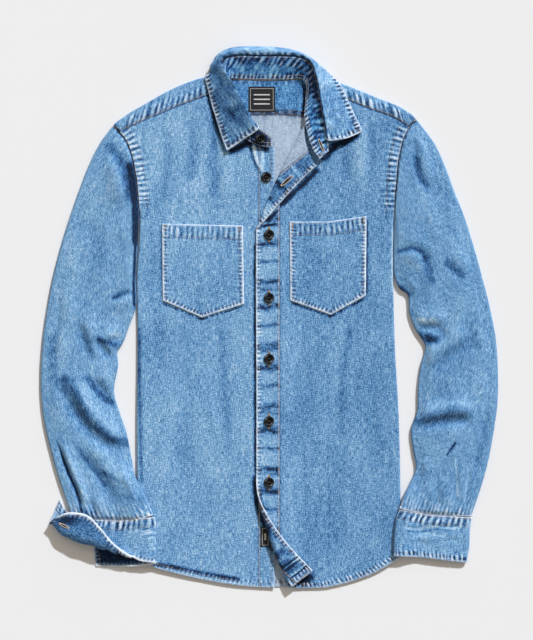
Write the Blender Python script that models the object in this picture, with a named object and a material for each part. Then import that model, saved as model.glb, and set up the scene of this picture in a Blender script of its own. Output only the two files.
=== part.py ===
"""A men's denim work shirt, laid out flat on its back, as separate sewn pieces.

The shirt lies on the plane z = 0 with its collar towards +Y. Left and right in the names are
the wearer's, so the right front is at -X. Tables are in millimetres and are turned into metres
when a mesh is made. Every cloth piece is a wall of even thickness, and pieces that are sewn
together stay SEAM apart.
"""
import math

import bpy
import numpy as np
from mathutils import Vector
from mathutils.geometry import delaunay_2d_cdt

MM = 0.001

# Driving sizes, mm
SEAM = 0.3              # gap between two sewn pieces
CLOTH = 1.2             # one layer of denim with its flat seams
YOKE_CLOTH = 1.6        # the yoke is two layers
SLEEVE_CLOTH = 1.6
BAND_CLOTH = 1.6        # plackets: cloth turned twice
CUFF_CLOTH = 2.0        # cuffs, stand and collar: two layers and a stiffener
COLLAR_CLOTH = 2.0
STAND_CLOTH = 1.8
SIDE_RADIUS = 3.0       # outer radius of the rolled body sides and shoulders
SLEEVE_RADIUS = 3.5     # outer radius of the rolled sleeve sides
CUFF_RADIUS = 3.9
MID_HEIGHT = 3.8        # top of the right front over the middle of the back
LEFT_LIFT = 2.0         # the left front rides over the right placket by this much
SIDE_TUCK = 55.0        # how far a front runs on under the body to its side seam
LABEL_CLOTH = 1.0
STEP = 24.0             # point spacing on the broad panels
BEND_GAIN = 9.0         # how much a bend is widened while its points are spread
UNDER_GAP = 0.9         # gap at the armholes underneath, where the sleeve has fewer points
NUDGE = 0.05            # step for taking the slope of a surface
SLEEVE_STATIONS = 34
RING_TOP, RING_UNDER = 13, 7   # points across the top and the underside of a flattened tube
DEEPEST_FOLD = 3.2      # a fold stops short of the layer beneath it
BODY_LIFT = 6.6         # underside of a cuff where it lies on the body
LIFT_FROM = {-1: (-235, -200), 1: (-255, -222)}   # y over which a sleeve climbs on to the body

PLACKET_LEFT = (-18.5, 15.2)     # x of the top placket's edge and of its seam
PLACKET_RIGHT = (-15.0, 8.0)     # x of the under placket's seam and of its edge
BUTTON_RADIUS = 7.5
BUTTON_HEIGHT = 3.0
BUTTON_SIDES = 16

# Outlines, mm, each with the few points that its curve needs
SHOULDER_EDGE = [(-228, 282), (-209, 297), (-182, 313), (-150, 331), (-124, 343), (-93, 353),
                 (-60, 357), (0, 357), (55, 356), (101, 345), (130, 334), (157, 323),
                 (191, 309), (206, 299), (215, 291)]
SIDE_EDGE_RIGHT = [(-187, -352), (-190, -323), (-192, -264), (-193, -150), (-192, -60),
                   (-192, 10), (-193, 60), (-190, 105), (-188, 157)]
SIDE_EDGE_LEFT = [(188, -350), (191, -323), (191, -206), (188, -118), (184, -50), (182, 13),
                  (181, 60), (181, 105), (182, 147)]
ARMHOLE_RIGHT = [(-228, 282), (-218, 272), (-209, 261), (-203, 248), (-199, 235), (-196, 220),
                 (-193, 203), (-191, 181), (-189, 157)]
ARMHOLE_LEFT = [(215, 291), (206, 282), (200, 272), (195, 260), (191, 244), (188, 228),
                (186, 203), (184, 174), (183, 147)]
YOKE_SEAM_RIGHT = [(-216, 274), (-205, 280), (-183, 290), (-150, 304), (-118, 317), (-89, 328),
                   (-74, 334)]
YOKE_SEAM_LEFT = [(204, 282), (191, 290), (177, 297), (147, 307), (118, 319), (89, 330),
                  (55, 341)]
NECK_RIGHT = [(-74, 334), (-69, 317), (-57, 296), (-39, 276), (-19, 260), (8, 250)]
NECK_LEFT = [(55, 341), (55, 320), (53, 298), (47, 281), (31, 270), (14, 264), (-9, 260)]
NECK_BACK = [(-60, 351), (-42, 349), (-5, 348), (31, 349), (50, 351)]
FRONT_EDGE_LEFT = [(-9, 260), (-12, 225), (-16, 181), (-18.5, 137), (-18.5, -130), (-18.5, -393)]
HEM_RIGHT = [(-187, -352), (-168, -362), (-137, -371), (-93, -381), (-51, -388), (-20, -391),
             (8, -392)]
HEM_LEFT = [(-18.5, -393), (28, -393), (58, -393), (86, -391), (126, -381), (156, -369),
            (175, -358), (188, -350)]
BACK_YOKE_SEAM = (299.0, 0.0011)   # y at the middle, and how fast it drops towards the sides
BACK_HEM_RISE = 2.0                # the back's hem lies this far inside the fronts' hem

SLEEVE_RIGHT_OUTER = [(-228, 282), (-248, 254), (-262, 226), (-276, 190), (-291, 147),
                      (-305, 101), (-316, 57), (-324, 13), (-330, -31), (-333, -80),
                      (-332, -118), (-327, -155), (-317, -197), (-306, -235), (-296, -264),
                      (-289, -284)]
SLEEVE_RIGHT_INNER = [(-189, 157), (-190.6, 135), (-191.6, 105), (-194.4, 60), (-194, 18), (-203, -8),
                      (-213, -35), (-221, -48), (-220, -67), (-226, -105), (-218, -136),
                      (-208, -165), (-201, -200), (-195, -228), (-183, -252), (-168, -285)]
SLEEVE_LEFT_OUTER = [(215, 291), (241, 256), (257, 222), (271, 184), (285, 149), (300, 101),
                     (312, 57), (323, 13), (331, -31), (334, -85), (333, -125), (328, -162),
                     (320, -206), (309, -246), (295, -288)]
SLEEVE_LEFT_INNER = [(183.2, 147), (182.4, 105), (182.8, 64), (191, 44), (202, 36), (205, 8),
                     (213, -14), (228, -40), (221, -69), (217, -104), (216, -134), (207, -162),
                     (210, -191), (214, -218), (205, -240), (196, -258), (190, -276)]
CUFF_SEAM_RIGHT = [(-289, -284), (-264, -290), (-228, -292), (-188, -290), (-168, -285)]
CUFF_SEAM_LEFT = [(295, -288), (264, -287), (235, -285), (206, -280), (190, -276)]
CUFF_LEFT_HEM = [(288, -355), (264, -353), (213, -347), (181, -345)]
CUFF_LEFT_OUTER = [(295, -289), (293, -308), (292, -330), (288, -355)]
CUFF_LEFT_INNER = [(190, -277), (185, -291), (182, -315), (181, -345)]

# Corners of the left front that are turned back: start and end of the fold, the inner radius
TURN_NECK = {"start": (-17.5, 135), "end": (51, 284), "radius": 1.2}
TURN_TAIL = {"start": (-20, -240), "end": (30, -393), "radius": 4.5}

# Soft folds pressed into the sleeves: start, middle and end of the trough, half width, depth
FOLD_COLUMNS = ("start", "middle", "end", "width", "depth")
FOLDS_RIGHT = [
    ((-236, 256), (-213, 225), (-203, 186), 11, 2.4),
    ((-300, 42), (-309, 0), (-316, -60), 8, 1.6),
    ((-276, -6), (-268, -38), (-258, -66), 10, 1.8),
    ((-253, -30), (-240, -46), (-230, -60), 8, 1.8),
    ((-235, -33), (-224, -32), (-215, -38), 8, 2.2),
    ((-254, -86), (-238, -106), (-222, -124), 9, 1.8),
    ((-316, -86), (-276, -150), (-212, -186), 12, 3.0),
    ((-276, -187), (-246, -222), (-232, -266), 11, 2.0),
    ((-309, -176), (-292, -228), (-272, -282), 7, 2.8),
]
FOLDS_LEFT = [
    ((209, 264), (214, 224), (236, 187), 10, 2.0),
    ((184, 95), (222, 106), (235, 58), 9, 2.2),
    ((192, 44), (201, 41), (212, 35), 8, 2.4),
    ((222, -20), (250, -18), (228, -38), 10, 2.4),
    ((300, -28), (262, -56), (235, -84), 11, 1.8),
    ((210, -160), (250, -150), (306, -145), 10, 2.6),
    ((273, -177), (266, -190), (258, -199), 7, 1.8),
    ((322, -90), (316, -170), (291, -264), 11, 2.2),
    ((272, -200), (270, -235), (272, -272), 9, 1.8),
]

# The stand: foot and top of its visible inner face, from the right front round to the left
STAND_COLUMNS = ("foot", "top")
STAND = [
    ((3, 250, 8.0), (3, 264, 9.5)),
    ((-10, 251, 8.2), (-8, 272, 11.0)),
    ((-28, 258, 8.2), (-22, 284, 14.0)),
    ((-45, 276, 8.2), (-33, 304, 17.4)),
    ((-59, 298, 8.2), (-44, 324, 18.6)),
    ((-66, 320, 8.4), (-55, 345, 18.6)),
    ((-67, 340, 8.4), (-64, 361, 18.2)),
    ((-60, 350, 7.2), (-64, 376, 18.6)),
    ((-44, 350, 4.2), (-50, 381, 19.0)),
    ((-10, 349, 3.8), (-10, 381, 19.0)),
    ((25, 349, 3.8), (25, 381, 19.0)),
    ((44, 350, 5.0), (47, 378, 19.5)),
    ((53, 344, 8.6), (61, 370, 20.5)),
    ((53, 320, 8.6), (70, 342, 21.5)),
    ((51, 295, 9.6), (76, 312, 21.5)),
    ((56, 269, 12.4), (81, 284, 20.0)),
    ((65, 244, 14.4), (86, 260, 17.5)),
    ((73, 232, 14.6), (87, 244, 16.0)),
]

# The collar leaf: seam on the stand, top of the roll, middle of the fall, outer edge
LEAF_COLUMNS = ("seam", "roll", "middle", "edge")
LEAF = [
    ((-16, 281, 15.6), (-15, 276, 19.0), (-38, 260, 14.5), (-61, 245, 9.2)),
    ((-25, 291, 19.0), (-24, 290, 22.5), (-46, 276, 16.0), (-67, 259, 9.0)),
    ((-34, 306, 21.5), (-33, 307, 24.5), (-56, 295, 17.0), (-75, 284, 8.8)),
    ((-45, 326, 22.5), (-43, 326, 25.5), (-66, 318, 17.0), (-83, 310, 8.8)),
    ((-56, 346, 22.5), (-55, 347, 25.5), (-76, 342, 16.5), (-90, 337, 8.8)),
    ((-64, 361, 22.0), (-65, 362, 24.5), (-81, 357, 15.5), (-93, 353, 8.2)),
    ((-67, 369, 21.4), (-70, 372, 22.8), (-86, 369, 10.5), (-79, 362, 2.4)),
    ((-65, 378, 20.8), (-68, 382, 22.0), (-77, 383, 10.5), (-64, 368, 2.2)),
    ((-50, 383, 20.4), (-53, 389, 21.5), (-56, 394.5, 10.5), (-47, 368, 2.2)),
    ((-10, 383, 20.4), (-10, 390, 21.5), (-10, 396.5, 10.5), (-10, 368, 2.2)),
    ((25, 383, 20.4), (27, 388.5, 21.5), (29, 393, 10.5), (26, 368, 2.2)),
    ((47, 380, 20.8), (52, 383, 22.4), (58, 381, 11.5), (46, 368, 2.2)),
    ((61, 371, 22.0), (63, 372, 24.5), (80, 364, 14.0), (76, 360, 3.4)),
    ((66, 357, 22.6), (67, 358, 25.5), (86, 354, 17.0), (101, 346, 8.6)),
    ((70, 342, 23.0), (70, 342, 26.0), (92, 335, 18.0), (112, 326, 8.8)),
    ((76, 312, 23.0), (75, 312, 26.0), (100, 304, 18.0), (124, 300, 8.8)),
    ((81, 286, 21.5), (80, 286, 24.5), (108, 279, 16.5), (134, 279, 8.8)),
    ((86, 263, 19.0), (84, 259, 21.5), (111, 262, 14.5), (136, 273, 9.0)),
]

# The right cuff is unbuttoned and its open end is turned up. Rows run from the end that lies
# underneath, round the inner side and back to the buttonhole end.
CUFF_COLUMNS = ("seam", "fold", "hem", "roll")
CUFF_RIGHT = [
    ((-256, -300, 0.0), (-256, -330, 0.0), (-253, -361, 0.0), 0),
    ((-238, -297, 0.0), (-237, -329, 0.0), (-236, -362, 0.0), 0),
    ((-218, -296, 0.9), (-217, -329, 0.9), (-216, -362, 0.9), 0),
    ((-200, -295, 6.2), (-199, -328, 6.2), (-198, -361, 6.2), 0),
    ((-180, -294, 6.6), (-178, -327, 6.6), (-176, -359, 6.6), 0),
    ((-166, -289, 10.5), (-164, -322, 10.5), (-164, -356, 10.5), 0),
    ((-175, -289, 14.4), (-175, -322, 14.4), (-176, -354, 14.4), 0),
    ((-190, -291, 13.9), (-190, -320, 14.2), (-190, -351, 15.4), 0),
    ((-208, -293, 12.0), (-207, -344, 16.8), (-208, -339, 19.4), 2.6),
    ((-228, -293.5, 9.2), (-224, -339, 18.0), (-227, -324, 22.2), 4.0),
    ((-247, -293, 8.0), (-243, -333, 17.4), (-246, -301, 22.8), 5.0),
    ((-264, -291.5, 7.6), (-261, -327, 16.6), (-263, -285, 22.0), 5.5),
    ((-282, -288, 7.2), (-283, -321, 15.6), (-279, -281, 20.6), 5.5),
    ((-298, -277, 4.6), (-302, -312, 13.4), (-296, -282, 18.2), 5.0),
    ((-306, -263, 2.6), (-320, -297, 10.0), (-310, -292, 14.6), 3.5),
]

POCKET_RIGHT = [(-156, 139), (-38, 136), (-36.5, 22), (-98, 2), (-155, 27)]
POCKET_LEFT = [(30, 142), (86, 142), (142, 150), (141, 34), (90, 6), (31, 27)]
BUTTON_ROWS = [123, 31, -58, -149, -238]
OPEN_BUTTON = (-4, 207)
STAND_BUTTON = {"place": (-12.5, 262.5, 13.6), "tilt": 24}
NECK_LABEL = (-30, 302, 9, 339)
PLACKET_LABEL = (-12, -332, 1, -303)

DENIM = (0.147, 0.315, 0.571, 1)
DENIM_INSIDE = (0.48, 0.54, 0.67, 1)
BLACK = (0.012, 0.012, 0.014, 1)


def clear_scene():
    for thing in list(bpy.data.objects):
        bpy.data.objects.remove(thing)


def material(name, colour, roughness):
    made = bpy.data.materials.new(name)
    made.use_nodes = True
    shader = made.node_tree.nodes["Principled BSDF"]
    shader.inputs["Base Color"].default_value = colour
    shader.inputs["Roughness"].default_value = roughness
    shader.inputs["Metallic"].default_value = 0.0
    return made


def add_object(name, points, faces, colour=DENIM, roughness=0.9):
    """A mesh object from points in millimetres, shaded smooth over its gentle edges."""
    mesh = bpy.data.meshes.new(name)
    mesh.from_pydata([tuple(MM * value for value in point) for point in points], [], faces)
    mesh.validate()
    mesh.shade_smooth()
    mesh.set_sharp_from_angle(angle=math.radians(40))
    mesh.materials.append(material(name, colour, roughness))
    made = bpy.data.objects.new(name, mesh)
    bpy.context.scene.collection.objects.link(made)
    return made


# ---------------------------------------------------------------- curves

def spline(points, count):
    """A smooth curve through the points, as count points evenly spaced along it."""
    pts = np.array(points, float)
    knots = np.r_[0, np.cumsum(np.sqrt(np.linalg.norm(np.diff(pts, axis=0), axis=1)))]
    slopes = np.gradient(pts, knots, axis=0, edge_order=1)
    fine = []
    for k in range(len(pts) - 1):
        span = knots[k + 1] - knots[k]
        for t in np.linspace(0, 1, 24, endpoint=k == len(pts) - 2):
            fine.append(hermite(pts[k], pts[k + 1], slopes[k] * span, slopes[k + 1] * span, t))
    fine = np.array(fine)
    reach = np.r_[0, np.cumsum(np.linalg.norm(np.diff(fine, axis=0), axis=1))]
    even = np.linspace(0, reach[-1], count)
    return np.stack([np.interp(even, reach, fine[:, axis]) for axis in range(pts.shape[1])], 1)


def hermite(a, b, slope_a, slope_b, t):
    return ((2 * t ** 3 - 3 * t ** 2 + 1) * a + (t ** 3 - 2 * t ** 2 + t) * slope_a
            + (3 * t ** 2 - 2 * t ** 3) * b + (t ** 3 - t ** 2) * slope_b)


def smooth(low, high, value):
    t = np.clip((value - low) / (high - low), 0, 1)
    return t * t * (3 - 2 * t)


SHOULDER = spline(SHOULDER_EDGE, 90)
SIDES = {-1: spline(SIDE_EDGE_RIGHT, 60), 1: spline(SIDE_EDGE_LEFT, 60)}
ARMHOLES = {-1: spline(ARMHOLE_RIGHT, 15), 1: spline(ARMHOLE_LEFT, 15)}
YOKE_SEAMS = {-1: spline(YOKE_SEAM_RIGHT, 12), 1: spline(YOKE_SEAM_LEFT, 12)}
UNDERARM = {-1: ARMHOLE_RIGHT[-1][1], 1: ARMHOLE_LEFT[-1][1]}


def shoulder_y(x):
    return float(np.interp(x, SHOULDER[:, 0], SHOULDER[:, 1]))


def side_x(y, side):
    line = SIDES[side]
    return float(np.interp(y, line[:, 1], line[:, 0]))


def armhole_x(y, side):
    line = ARMHOLES[side][::-1]
    return float(np.interp(y, line[:, 1], line[:, 0]))


# ---------------------------------------------------------------- where the cloth lies

def front_height(x, y):
    """Top of a front: low over the middle of the back, full at its sides and shoulders."""
    side = -1 if x < 0 else 1
    from_side = side * (side_x(min(y, 147), side) - x)
    from_shoulder = shoulder_y(x) - y
    middle = smooth(8, 95, from_side) * smooth(20, 120, from_shoulder)
    return 2 * SIDE_RADIUS - (2 * SIDE_RADIUS - MID_HEIGHT) * middle


def left_height(x, y):
    return max(front_height(x, y), MID_HEIGHT + LEFT_LIFT * (1 - smooth(18, 50, x)))


def roll_under(x, y, side, height):
    """Flat pattern to laid shirt: a front's side turns down and runs on underneath."""
    edge = side_x(y, side)
    past = side * (x - edge) + SIDE_RADIUS
    if past <= 0 or y > UNDERARM[side] + 1:
        return (x, y, height(x, y))
    angle = past / SIDE_RADIUS
    if angle < math.pi:
        reach = SIDE_RADIUS * (math.sin(angle) - 1)
        return (edge + side * reach, y, SIDE_RADIUS * (1 + math.cos(angle)))
    return (edge - side * (past - math.pi * SIDE_RADIUS + SIDE_RADIUS), y, 0.0)


def fold_line(turn):
    """Start of a fold and the direction across it, to the wearer's right."""
    start = np.array(turn["start"], float)
    along = np.array(turn["end"], float) - start
    across = np.array([-along[1], along[0]]) / np.linalg.norm(along)
    return start, across if across[0] < 0 else -across


def turn_back(x, y, turn):
    """Turn what lies to the left of a fold line up and over; None leaves the point alone."""
    start, across = fold_line(turn)
    radius = turn["radius"]
    past = (x - start[0]) * across[0] + (y - start[1]) * across[1] + radius + BAND_CLOTH
    if past <= 0:
        return None
    angle = past / radius
    if angle < math.pi:
        shift, rise = radius * math.sin(angle) - past, radius * (1 - math.cos(angle))
    else:
        shift, rise = math.pi * radius - 2 * past, 2 * radius
    landed = (x + across[0] * shift, y + across[1] * shift)
    return (landed[0], landed[1], left_height(*landed) + rise)


def place_right(x, y):
    return roll_under(x, y, -1, front_height)


def place_left(x, y):
    turn = TURN_NECK if y > 0 else TURN_TAIL
    return turn_back(x, y, turn) or roll_under(x, y, 1, left_height)


def place_yoke(x, y):
    """Flat from below, the yoke turns up at the shoulders and runs on over the top."""
    edge = shoulder_y(x)
    past = y - edge + SIDE_RADIUS
    if past <= 0:
        return (x, y, 0.0)
    angle = past / SIDE_RADIUS
    if angle < math.pi:
        return (x, edge + SIDE_RADIUS * (math.sin(angle) - 1), SIDE_RADIUS * (1 - math.cos(angle)))
    return (x, edge - SIDE_RADIUS - (past - math.pi * SIDE_RADIUS), 2 * SIDE_RADIUS)


def place_back(x, y):
    return (x, y, 0.0)


# ---------------------------------------------------------------- panels

def inside(outline, points):
    """Which points lie in the outline, by counting crossings."""
    found = np.zeros(len(points), bool)
    ends = np.roll(outline, -1, axis=0)
    for (ax, ay), (bx, by) in zip(outline, ends):
        crosses = (ay > points[:, 1]) != (by > points[:, 1])
        if ay != by:
            found ^= crosses & (points[:, 0] < (bx - ax) * (points[:, 1] - ay) / (by - ay) + ax)
    return found


def clearance(outline, points):
    """Distance from each point to the outline."""
    best = np.full(len(points), np.inf)
    for start, end in zip(outline, np.roll(outline, -1, axis=0)):
        along = end - start
        t = np.clip((points - start) @ along / max(along @ along, 1e-9), 0, 1)
        best = np.minimum(best, np.linalg.norm(points - start - t[:, None] * along, axis=1))
    return best


def stretch(points, bends, sign):
    """Widen (sign 1) or narrow back (sign -1) the strip of pattern that each bend takes up.

    Points spread evenly over the widened pattern lie close together across a bend.
    """
    points = np.array(points, float)
    for past, direction, arc in bends[::sign]:
        distance = past(points)
        if sign < 0:
            distance = distance / (1 + BEND_GAIN)
        shift = BEND_GAIN * np.clip(distance, 0, arc)
        points += sign * shift[:, None] * np.array(direction)
    return points


def stagger(outline, step):
    """Evenly staggered points inside an outline."""
    low, high = outline.min(axis=0), outline.max(axis=0)
    points = [(x, y) for n, y in enumerate(np.arange(low[1], high[1], step * 0.87))
              for x in np.arange(low[0] + (n % 2) * step / 2, high[0], step)]
    points = np.array(points)
    points = points[inside(outline, points)]
    return points[clearance(outline, points) > 0.5 * step]


def panel(name, outline, place, wall, step=STEP, bends=(), colour=DENIM):
    """A wall of cloth cut to a flat outline. place gives its outer face, wall runs inwards."""
    wide = stretch(outline, bends, 1)
    area = np.sum(wide[:, 0] * np.roll(wide[:, 1], -1) - np.roll(wide[:, 0], -1) * wide[:, 1])
    if area < 0:
        wide = wide[::-1]
    wide = np.vstack([wide, stagger(wide, step)])
    ring = list(range(len(outline)))
    made = delaunay_2d_cdt([Vector(point) for point in wide], [], [ring], 1, 1e-6)
    flat, triangles = stretch(made[0], bends, -1), [list(face) for face in made[2]]
    outer, inner = [], []
    for x, y in flat:
        east = np.subtract(place(x + NUDGE, y), place(x - NUDGE, y))
        north = np.subtract(place(x, y + NUDGE), place(x, y - NUDGE))
        normal = np.cross(east, north)
        outer.append(np.array(place(x, y)))
        inner.append(outer[-1] - normal / np.linalg.norm(normal) * wall)
    return solid(name, outer, inner, triangles, wall < 0, colour)


def solid(name, outer, inner, faces, flip, colour, roughness=0.9):
    """Close an outer and an inner face, point for point, with walls round every free edge."""
    count = len(outer)
    edges = {}
    for face in faces:
        for a, b in zip(face, face[1:] + face[:1]):
            edges[(a, b)] = True
    shell = [list(face) for face in faces]
    shell += [[v + count for v in reversed(face)] for face in faces]
    for a, b in edges:
        if (b, a) not in edges:
            shell.append([b, a, a + count, b + count])
    if flip:
        shell = [list(reversed(face)) for face in shell]
    return add_object(name, list(outer) + list(inner), shell, colour, roughness)


def shifted(points, dx, dy):
    return [(x + dx, y + dy) for x, y in points]


SIDE_ARC = [-SIDE_RADIUS + math.pi * SIDE_RADIUS * k / 4 for k in range(5)]
QUARTERS = [math.pi / 4, math.pi / 2, 3 * math.pi / 4]


def seam_levels(side):
    """Heights at which a side seam has a point, on the front and on the back alike."""
    return np.linspace(-320, UNDERARM[side] - 20, 12)


def make_front(side):
    """One front, from its placket seam round the side to the side seam underneath."""
    right = side < 0
    neck_line, hem_line = (NECK_RIGHT, HEM_RIGHT) if right else (NECK_LEFT, HEM_LEFT)
    seam_x = PLACKET_RIGHT[0] - SEAM if right else PLACKET_LEFT[1] + SEAM
    underarm, foot = UNDERARM[side], hem_line[0 if right else -1][1]
    tuck = math.pi * SIDE_RADIUS - SIDE_RADIUS + SIDE_TUCK

    outline = shifted(YOKE_SEAMS[side], 0, -SEAM)
    outline += [point for point in spline(neck_line, 12)[1:] if side * (point[0] - seam_x) > 1]
    outline.append((seam_x, height_at(neck_line, seam_x)))
    outline += [(seam_x, y) for y in np.arange(230, -370, -30.0)]
    outline.append((seam_x, height_at(hem_line, seam_x)))
    edge = side_x(foot, side)
    outline += [point for point in spline(hem_line, 20)[::side]
                if 4 < side * (point[0] - seam_x) and side * (point[0] - edge) < -8]
    outline += [(edge + side * offset, foot) for offset in SIDE_ARC]
    outline.append((edge + side * tuck, foot))
    outline += [(side_x(y, side) + side * tuck, y) for y in seam_levels(side)]
    edge = side_x(underarm, side)
    outline.append((edge + side * tuck, underarm))
    outline += [(edge + side * offset, underarm) for offset in reversed(SIDE_ARC)]
    top = YOKE_SEAMS[side][0][1] - 3
    outline += [(x - side * (SEAM + 0.1), y) for x, y in ARMHOLES[side][::-1]
                if underarm + 4 < y < top]
    bends = [side_bend(side)]
    if not right:
        bends += [turn_bend(TURN_NECK), turn_bend(TURN_TAIL)]
    name = "front_right" if right else "front_left"
    return panel(name, outline, place_right if right else place_left, CLOTH, STEP, bends)


def make_placket(side):
    """The straight band down a front edge, sewn to its front along one side."""
    right = side < 0
    neck_line, hem_line = (NECK_RIGHT, HEM_RIGHT) if right else (NECK_LEFT, HEM_LEFT)
    low, high = PLACKET_RIGHT if right else PLACKET_LEFT
    ends = [low, (low + high) / 2, high]
    if right:
        edge = [(high, y) for y in np.arange(-370, 240, 30.0)]
    else:
        edge = [tuple(point) for point in spline(FRONT_EDGE_LEFT, 24)[1:-1]]
    outline = [(x, height_at(hem_line, x)) for x in ends]
    seam = [(low if right else high, y) for y in np.arange(-370, 240, 30.0)]
    neck = [(x, height_at(neck_line, x)) for x in ends]
    if right:
        outline += edge + neck[::-1] + seam[::-1]
    else:
        neck[0] = FRONT_EDGE_LEFT[0]
        outline += seam + neck[::-1] + edge
    bends = [] if right else [turn_bend(TURN_NECK), turn_bend(TURN_TAIL)]
    name = "placket_right" if right else "placket_left"
    wall = CLOTH if right else BAND_CLOTH
    return panel(name, outline, place_right if right else place_left, wall, STEP, bends)


def back_seam_y(x):
    return BACK_YOKE_SEAM[0] - BACK_YOKE_SEAM[1] * x * x


def make_back():
    """The back lies flat on the ground between the side seams, and out to the armholes."""
    halves = {}
    for side in (-1, 1):
        seam = SIDE_TUCK + SIDE_RADIUS + SEAM
        hem_line = HEM_RIGHT if side < 0 else HEM_LEFT
        half = [(x, height_at(hem_line, x) + BACK_HEM_RISE)
                for x in side * np.linspace(12, side * side_x(-350, side) - seam, 6)]
        foot = hem_line[0 if side < 0 else -1][1]
        half += [(side_x(y, side) - side * seam, y) for y in [foot, *seam_levels(side)]]
        under = UNDERARM[side] + SEAM
        half.append((side_x(under, side) - side * seam, under))
        half.append((armhole_x(under, side) - side * UNDER_GAP, under))
        half += [(x - side * UNDER_GAP, y) for x, y in ARMHOLES[side][::-1]
                 if under + 3 < y < back_seam_y(x) - 0.8]
        x = armhole_x(back_seam_y(200), side) - side * UNDER_GAP
        half += [(x * k, back_seam_y(x * k) - SEAM) for k in (1, 0.75, 0.5, 0.25)]
        halves[side] = half
    outline = halves[1] + [(0, back_seam_y(0) - SEAM)] + halves[-1][::-1]
    return panel("back", outline, place_back, -CLOTH, 2 * STEP, (), DENIM_INSIDE)


def over_shoulder(x, y):
    """Flat place on the yoke of a point seen from above on its front strip."""
    return (x, 2 * shoulder_y(x) - y + (math.pi - 2) * SIDE_RADIUS)


def shoulder_roll(line_x):
    """Outline points round the rolled shoulder, where line_x gives x for a seen height."""
    points = []
    for k in range(5):
        angle = math.pi * k / 4
        x = line_x(shoulder_y(line_x(300)) + SIDE_RADIUS * (math.sin(angle) - 1))
        points.append((x, shoulder_y(x) + SIDE_RADIUS * (angle - 1)))
    return points


def make_yoke():
    """The yoke runs from the back seam up over both shoulders to the front yoke seams."""
    outline = []
    for side in (-1, 1):
        gap = side * UNDER_GAP
        x = armhole_x(back_seam_y(200), side) - gap
        half = [(x * k, back_seam_y(x * k)) for k in (0.25, 0.5, 0.75, 1)]
        half += [(px - gap, py) for px, py in ARMHOLES[side][::-1]
                 if back_seam_y(px) + 0.8 < py < shoulder_y(px) - SIDE_RADIUS - 1.5]
        tip = ARMHOLES[side][0]
        half += shoulder_roll(lambda y: armhole_x(y, side) - gap if y < 296 else tip[0] - gap)
        seam = YOKE_SEAMS[side]
        half += [over_shoulder(px, py) for px, py in seam]
        end = seam[-1]
        neck_x = NECK_BACK[0][0] if side < 0 else NECK_BACK[-1][0]
        half.append(over_shoulder((end[0] + neck_x) / 2, (end[1] + 351) / 2))
        half += shoulder_roll(lambda y: neck_x + side * 3)[::-1]
        outline += half if side < 0 else half[::-1]
        if side < 0:
            outline += [tuple(point) for point in spline(NECK_BACK, 9)]
    outline.append((0, back_seam_y(0)))
    return panel("yoke", outline, place_yoke, -YOKE_CLOTH, STEP, [shoulder_bend()])


def side_bend(side):
    def past(points):
        edges = np.array([side_x(y, side) for y in points[:, 1]])
        return side * (points[:, 0] - edges) + SIDE_RADIUS
    return past, (side, 0.0), math.pi * SIDE_RADIUS


def shoulder_bend():
    def past(points):
        return points[:, 1] + SIDE_RADIUS - np.array([shoulder_y(x) for x in points[:, 0]])
    return past, (0.0, 1.0), math.pi * SIDE_RADIUS


def turn_bend(turn):
    start, across = fold_line(turn)

    def past(points):
        return (points - start) @ across + turn["radius"] + BAND_CLOTH
    return past, tuple(across), math.pi * turn["radius"]


def make_pocket(name, outline, height):
    def place(x, y):
        return (x, y, height(x, y) + SEAM + CLOTH)
    corners = np.array(outline + outline[:1], float)
    edge = []
    for a, b in zip(corners[:-1], corners[1:]):
        count = max(2, round(np.linalg.norm(b - a) / 22))
        edge += [a + (b - a) * k / count for k in range(count)]
    return panel(name, edge, place, CLOTH, STEP)


def make_label(name, box, height):
    x0, y0, x1, y1 = box
    corners = [(x0, y0), (x1, y0), (x1, y1), (x0, y1)]
    return panel(name, corners, lambda x, y: (x, y, height), LABEL_CLOTH, 60, (), BLACK)


# ---------------------------------------------------------------- tubes and bands

def grid_solid(name, grid, wall, closed, colour=DENIM):
    """A wall on a grid of points [station][across]; closed joins the last column to the first.

    The grid is the outer face and the wall runs against the grid's normal.
    """
    length, width = grid.shape[:2]
    along = np.gradient(grid, axis=0)
    if closed:
        across = (np.roll(grid, -1, axis=1) - np.roll(grid, 1, axis=1)) / 2
    else:
        across = np.gradient(grid, axis=1)
    normal = np.cross(along, across)
    normal /= np.linalg.norm(normal, axis=2, keepdims=True)
    inner = grid - normal * wall
    faces = []
    for row in range(length - 1):
        for column in range(width if closed else width - 1):
            a, b = row * width + column, row * width + (column + 1) % width
            faces.append([a, a + width, b + width, b])
    return solid(name, grid.reshape(-1, 3), inner.reshape(-1, 3), faces, wall < 0, colour)


def rows(columns, table):
    """The rows of a table, each with its values under the names of the columns."""
    return [dict(zip(columns, row)) for row in table]


def band(name, sections, wall, stations, columns):
    """A wall through sections, each a few points that a smooth curve runs through."""
    tracks = np.array([spline(points, columns) for points in sections])
    grid = np.stack([spline(tracks[:, k], stations) for k in range(columns)], axis=1)
    return grid_solid(name, grid, wall, False)


def make_stand():
    sections = [[row["foot"], row["top"]] for row in rows(STAND_COLUMNS, STAND)]
    return band("collar_stand", sections, STAND_CLOTH, 34, 4)


def make_leaf():
    sections = [[row["seam"], row["roll"], row["middle"], row["edge"]]
                for row in rows(LEAF_COLUMNS, LEAF)]
    return band("collar", sections, COLLAR_CLOTH, 34, 9)


def cuff_section(row):
    """Seam, round the turned-up fold, and on to the hem of the open cuff."""
    seam, fold, hem, roll = row["seam"], row["fold"], row["hem"], row["roll"]
    if roll == 0:
        return [seam, fold, hem]
    back = np.subtract(seam, fold)[:2]
    back = back / np.linalg.norm(back) * roll
    low = (fold[0] + back[0], fold[1] + back[1], fold[2] - roll)
    high = (fold[0] + back[0], fold[1] + back[1], fold[2] + roll)
    return [seam, low, fold, high, hem]


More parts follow.
